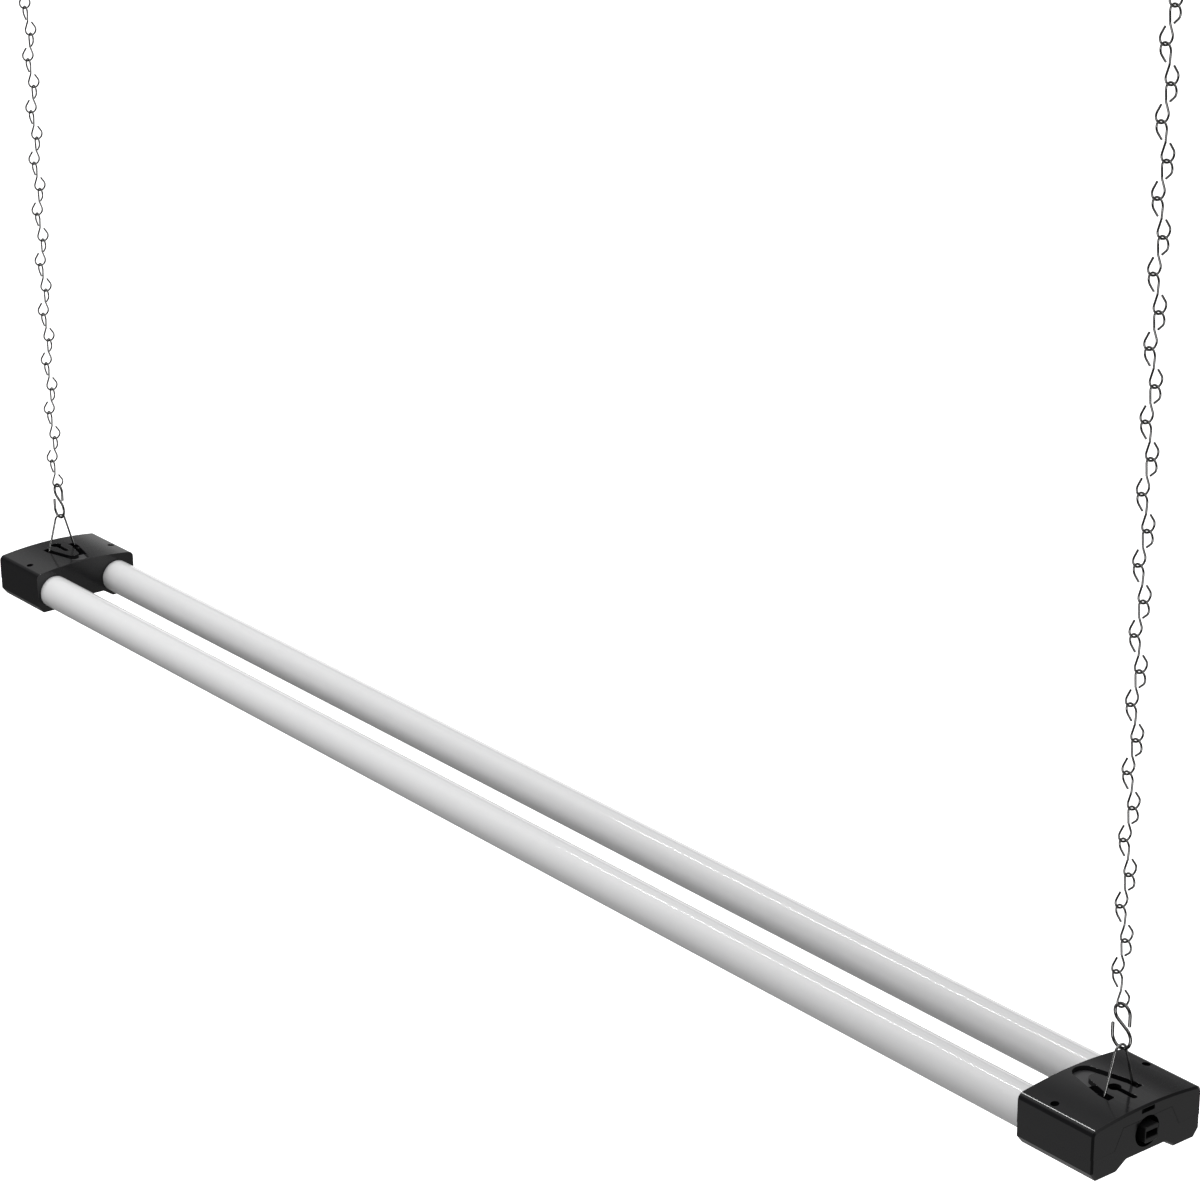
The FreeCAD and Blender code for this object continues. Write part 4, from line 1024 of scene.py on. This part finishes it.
# ---- The studio ----
@dataclass(frozen=True)
class SoftBox:
    """A soft box: where its middle stands and what it points at, as X, Y and height above the tubes,
    with its width and height. All are in millimetres, and its power is in watts. With words in only,
    it lights just the pieces whose names end in one of them."""

    name: str
    place: Triple
    target: Triple
    size: Pair
    power: float
    diffuse: bool = True
    glossy: bool = True
    only: tuple[str, ...] = ()

    def build(self, lift: float) -> Object:
        """Set the soft box up; the camera doesn't see it.

        Args:
            lift: height of the tubes' axes in millimetres.

        Returns:
            The light.
        """
        data = bpy.data.lights.new(self.name, "AREA")
        data.shape = "RECTANGLE"
        data.size, data.size_y = (length * MM for length in self.size)
        data.energy = self.power
        lamp = show(self.name, data)
        place = Vector(self.place)
        lamp.location = (place + Vector((0.0, 0.0, lift))) * MM
        aim = Vector(self.target) - place
        lamp.rotation_euler = aim.to_track_quat("-Z", "Y").to_euler()
        lamp.visible_camera = False
        lamp.visible_diffuse = self.diffuse
        lamp.visible_glossy = self.glossy
        if self.only:
            chosen = bpy.data.collections.new(self.name + "_pieces")
            for thing in bpy.context.scene.objects:
                if thing.name.endswith(self.only):
                    chosen.objects.link(thing)
            lamp.light_linking.receiver_collection = chosen
        return lamp


@dataclass
class Studio:
    """Pale floor, bright surroundings and soft boxes."""

    layout: Layout
    # The floor: how far below the tubes' axes, half its width, its colour, roughness and glow.
    floor_drop: float = 900.0
    floor_half: float = 16000.0
    paper: str = "#f4f4f4"
    paper_roughness: float = 0.9
    paper_glow: float = 1.0
    boxes: tuple[SoftBox, ...] = (
        # A narrow light above the near half of the tubes: the thin white line on them.
        SoftBox(
            "strip_light", (-380.0, 150.0, 1000.0), (-380.0, 0.0, 0.0), (1050.0, 24.0), 2.6,
            diffuse=False, only=("_tube",)),
        # The same line on the long corners of the caps, which curve more sharply.
        SoftBox(
            "corner_strip", (-380.0, 150.0, 1000.0), (-380.0, 0.0, 0.0), (1050.0, 90.0), 9.5,
            diffuse=False, only=("_shell",)),
        # Broad and high over the far half.
        SoftBox(
            "overhead_box", (-700.0, -700.0, 1600.0), (-300.0, 0.0, 0.0), (1600.0, 1200.0), 20.0,
            glossy=False),
        # Level with the tubes, so that the front one shades the rear one.
        SoftBox(
            "front_fill", (-100.0, -3000.0, -100.0), (-100.0, 0.0, 0.0), (3000.0, 500.0), 18.0,
            glossy=False),
        # A card below the camera: the bright middle of the wires.
        SoftBox(
            "front_card", (2200.0, -2000.0, -1000.0), (0.0, 0.0, 0.0), (1500.0, 2000.0), 28.0,
            diffuse=False, only=("_links", "_wire", "_hook")),
        # Two dim cards that the near cap's side and end face show.
        SoftBox(
            "side_card", (-1230.0, -1960.0, -1450.0), (570.0, -44.0, 0.0), (2000.0, 1600.0), 2.6,
            diffuse=False, only=("_shell",)),
        SoftBox(
            "end_card", (2400.0, 1920.0, -1450.0), (600.0, 0.0, 0.0), (2000.0, 2000.0), 3.6,
            diffuse=False, only=("_shell", "_shroud")),
    )
    # Levels of the surroundings by the rise of the direction, from straight down to straight up.
    levels: Levels = (
        (-1.0, 0.45), (-0.7, 0.32), (-0.5, 0.1), (0.1, 0.1),
        (0.35, 0.07), (0.58, 0.14), (0.72, 0.6), (1.0, 0.95))
    # What the wall behind the light adds, by the same rise.
    wall_levels: Levels = (
        (-0.35, 0.0), (-0.2, 1.0), (0.15, 1.0), (0.27, 0.12),
        (0.37, 0.03), (0.43, 0.4), (0.5, 0.4), (0.6, 0.0))
    # Where that wall is: a level direction, and the cosines where it starts and is at full strength.
    wall_direction: Triple = (-0.68, 0.73, 0.0)
    wall_edge: Pair = (0.3, 0.7)

    def floor(self) -> Object:
        """A plain pale floor well below the light, bright enough to read as white paper.

        Returns:
            The floor.
        """
        height = (self.layout.tube_axis - self.floor_drop) * MM
        half = self.floor_half * MM
        signs = ((-1, -1), (1, -1), (1, 1), (-1, 1))
        mesh = bpy.data.meshes.new("floor")
        mesh.from_pydata([(x * half, y * half, height) for x, y in signs], [], [(0, 1, 2, 3)])
        material = bpy.data.materials.new("white_paper")
        material.use_nodes = True
        shader = material.node_tree.nodes["Principled BSDF"]
        shader.inputs["Base Color"].default_value = linear(self.paper)
        shader.inputs["Roughness"].default_value = self.paper_roughness
        shader.inputs["Emission Color"].default_value = (1, 1, 1, 1)
        shader.inputs["Emission Strength"].default_value = self.paper_glow
        mesh.materials.append(material)
        floor = show("floor", mesh)
        floor.visible_diffuse = False
        floor.visible_glossy = False
        floor.visible_shadow = False
        return floor

    def ramp(self, tree: NodeTree, rise: NodeSocket, levels: Levels) -> NodeSocket:
        """Levels that depend on the rise of a direction.

        Args:
            tree: the world's node tree.
            rise: the rise, from -1 for straight down to 1 for straight up.
            levels: pairs of rise and level.

        Returns:
            The socket that carries the level.
        """
        share = add_node(tree, "ShaderNodeMapRange", {"From Min": -1.0, "From Max": 1.0}, {"Value": rise})
        ramp = add_node(tree, "ShaderNodeValToRGB", links={"Fac": share.outputs[0]})
        elements = ramp.color_ramp.elements
        while len(elements) < len(levels):
            elements.new(0.5)
        for element, (height, level) in zip(elements, levels):
            element.position = (height + 1.0) / 2.0
            element.color = (level, level, level, 1.0)
        return ramp.outputs[0]

    def surroundings(self) -> None:
        """A room that is white to the eye. For light and reflections it is bright above and dim
        elsewhere, with a bright wall behind the light."""
        world = bpy.data.worlds.new("studio")
        world.use_nodes = True
        tree = world.node_tree
        tree.nodes.clear()
        direction = add_node(tree, "ShaderNodeTexCoord").outputs["Generated"]
        rise = add_node(tree, "ShaderNodeSeparateXYZ", links={0: direction}).outputs[2]
        towards = add_node(
            tree, "ShaderNodeVectorMath", {"operation": "DOT_PRODUCT", 1: self.wall_direction},
            {0: direction})
        start, full = self.wall_edge
        share = add_node(
            tree, "ShaderNodeMapRange", {"From Min": start, "From Max": full},
            {"Value": towards.outputs["Value"]})
        wall = add_node(
            tree, "ShaderNodeMath", {"operation": "MULTIPLY"},
            {0: share.outputs[0], 1: self.ramp(tree, rise, self.wall_levels)})
        level = add_node(
            tree, "ShaderNodeMath", {"operation": "ADD"},
            {0: self.ramp(tree, rise, self.levels), 1: wall.outputs[0]})
        room = add_node(tree, "ShaderNodeBackground", links={"Color": level.outputs[0]})
        white = add_node(tree, "ShaderNodeBackground", {"Color": (1.0, 1.0, 1.0, 1.0)})
        seen = add_node(tree, "ShaderNodeLightPath").outputs["Is Camera Ray"]
        mix = add_node(
            tree, "ShaderNodeMixShader", links={0: seen, 1: room.outputs[0], 2: white.outputs[0]})
        add_node(tree, "ShaderNodeOutputWorld", links={"Surface": mix.outputs[0]})
        bpy.context.scene.world = world

    def build(self) -> None:
        """Set up floor, surroundings and soft boxes."""
        self.floor()
        self.surroundings()
        for box in self.boxes:
            box.build(self.layout.tube_axis)


@dataclass
class Viewpoint:
    """The camera that took the picture: a long lens, from the near end and slightly above."""

    # Degrees: where the camera stands round the light and above it, and how far it is rolled.
    azimuth: float = 51.41
    elevation: float = 20.63
    roll: float = -0.24
    # X, Y and height above the tubes' axes.
    place: Triple = (1801.5, -1349.2, 997.8)
    # Focal length and picture width in the photograph's pixels.
    focal_pixels: float = 3602.0
    picture_width: float = 1200.0
    # Width of the sensor, and how far the camera sees.
    sensor: float = 36.0
    sight: float = 100000.0

    def build(self, layout: Layout) -> Object:
        """Set the camera up.

        Args:
            layout: gives the height of the tubes' axes, which place is measured from.

        Returns:
            The camera.
        """
        turn, rise, lean = (math.radians(angle) for angle in (self.azimuth, self.elevation, self.roll))
        back = Vector((math.sin(turn) * math.cos(rise), -math.cos(turn) * math.cos(rise), math.sin(rise)))
        level = Vector((0, 0, 1)).cross(back).normalized()
        upright = back.cross(level)
        right = level * math.cos(lean) + upright * math.sin(lean)
        up = upright * math.cos(lean) - level * math.sin(lean)
        data = bpy.data.cameras.new("camera")
        data.sensor_fit = "HORIZONTAL"
        data.sensor_width = self.sensor
        data.lens = self.focal_pixels / self.picture_width * self.sensor
        data.clip_end = self.sight * MM
        camera = show("camera", data)
        turned = Matrix((right, up, back)).transposed().to_4x4()
        spot = Vector(self.place) + Vector((0, 0, layout.tube_axis))
        camera.matrix_world = Matrix.Translation(spot * MM) @ turned
        bpy.context.scene.camera = camera
        return camera


# ---- The whole light ----
@dataclass
class ShopLight:
    """The complete light, built from the ceiling down."""

    layout: Layout

    def hangers(self) -> list[Object]:
        """Ceiling hooks, S-hooks, chains and bails.

        Returns:
            The pieces.
        """
        layout = self.layout
        screw_hook, hook, bail = ScrewHook(layout), SHook(layout), Bail(layout)
        chain = JackChain(layout, hook)
        lower_bottom = layout.bail_pivot + bail.height - (hook.wire + bail.wire) / 2 - layout.hang_clearance
        pieces = []
        for end in End:
            pieces.append(screw_hook.build(end))
            pieces.append(hook.build(end, upper=True, bottom=layout.upper_hook_bottom))
            pieces.append(chain.build(end))
            pieces.append(hook.build(end, upper=False, bottom=lower_bottom))
            pieces.append(bail.build(end))
        return pieces

    def fixture(self) -> list[Object]:
        """Caps and tubes.

        Returns:
            The pieces.
        """
        pieces = []
        for end in End:
            pieces += Cap(self.layout, end).build()
        for word, side in (("front", -1), ("rear", 1)):
            pieces.append(OpalTube(self.layout).build(word, side))
        return pieces

    def dress_nodes(self) -> None:
        """Give every CAD node the finish of its material slot."""
        for row in self.layout.frame["record"]["subparts"]:
            node = self.layout.frame["nodes"][row["node"]]
            material = SLOT_FINISHES[row["material_slot"]].material()
            if not node.material_slots:
                node.data.materials.append(material)
            for slot in node.material_slots:
                slot.link = "OBJECT"
                slot.material = material


def main() -> None:
    """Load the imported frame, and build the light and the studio."""
    logging.basicConfig(level=logging.INFO, format="%(message)s")
    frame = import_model()
    layout = Layout(frame)
    light = ShopLight(layout)
    for piece in light.hangers() + light.fixture():
        LOG.info("%s: %d vertices", piece.name, len(piece.data.vertices))
    light.dress_nodes()
    Studio(layout).build()
    Viewpoint().build(layout)
    bpy.context.scene.view_settings.view_transform = "Standard"


if __name__ == "__main__":
    main()
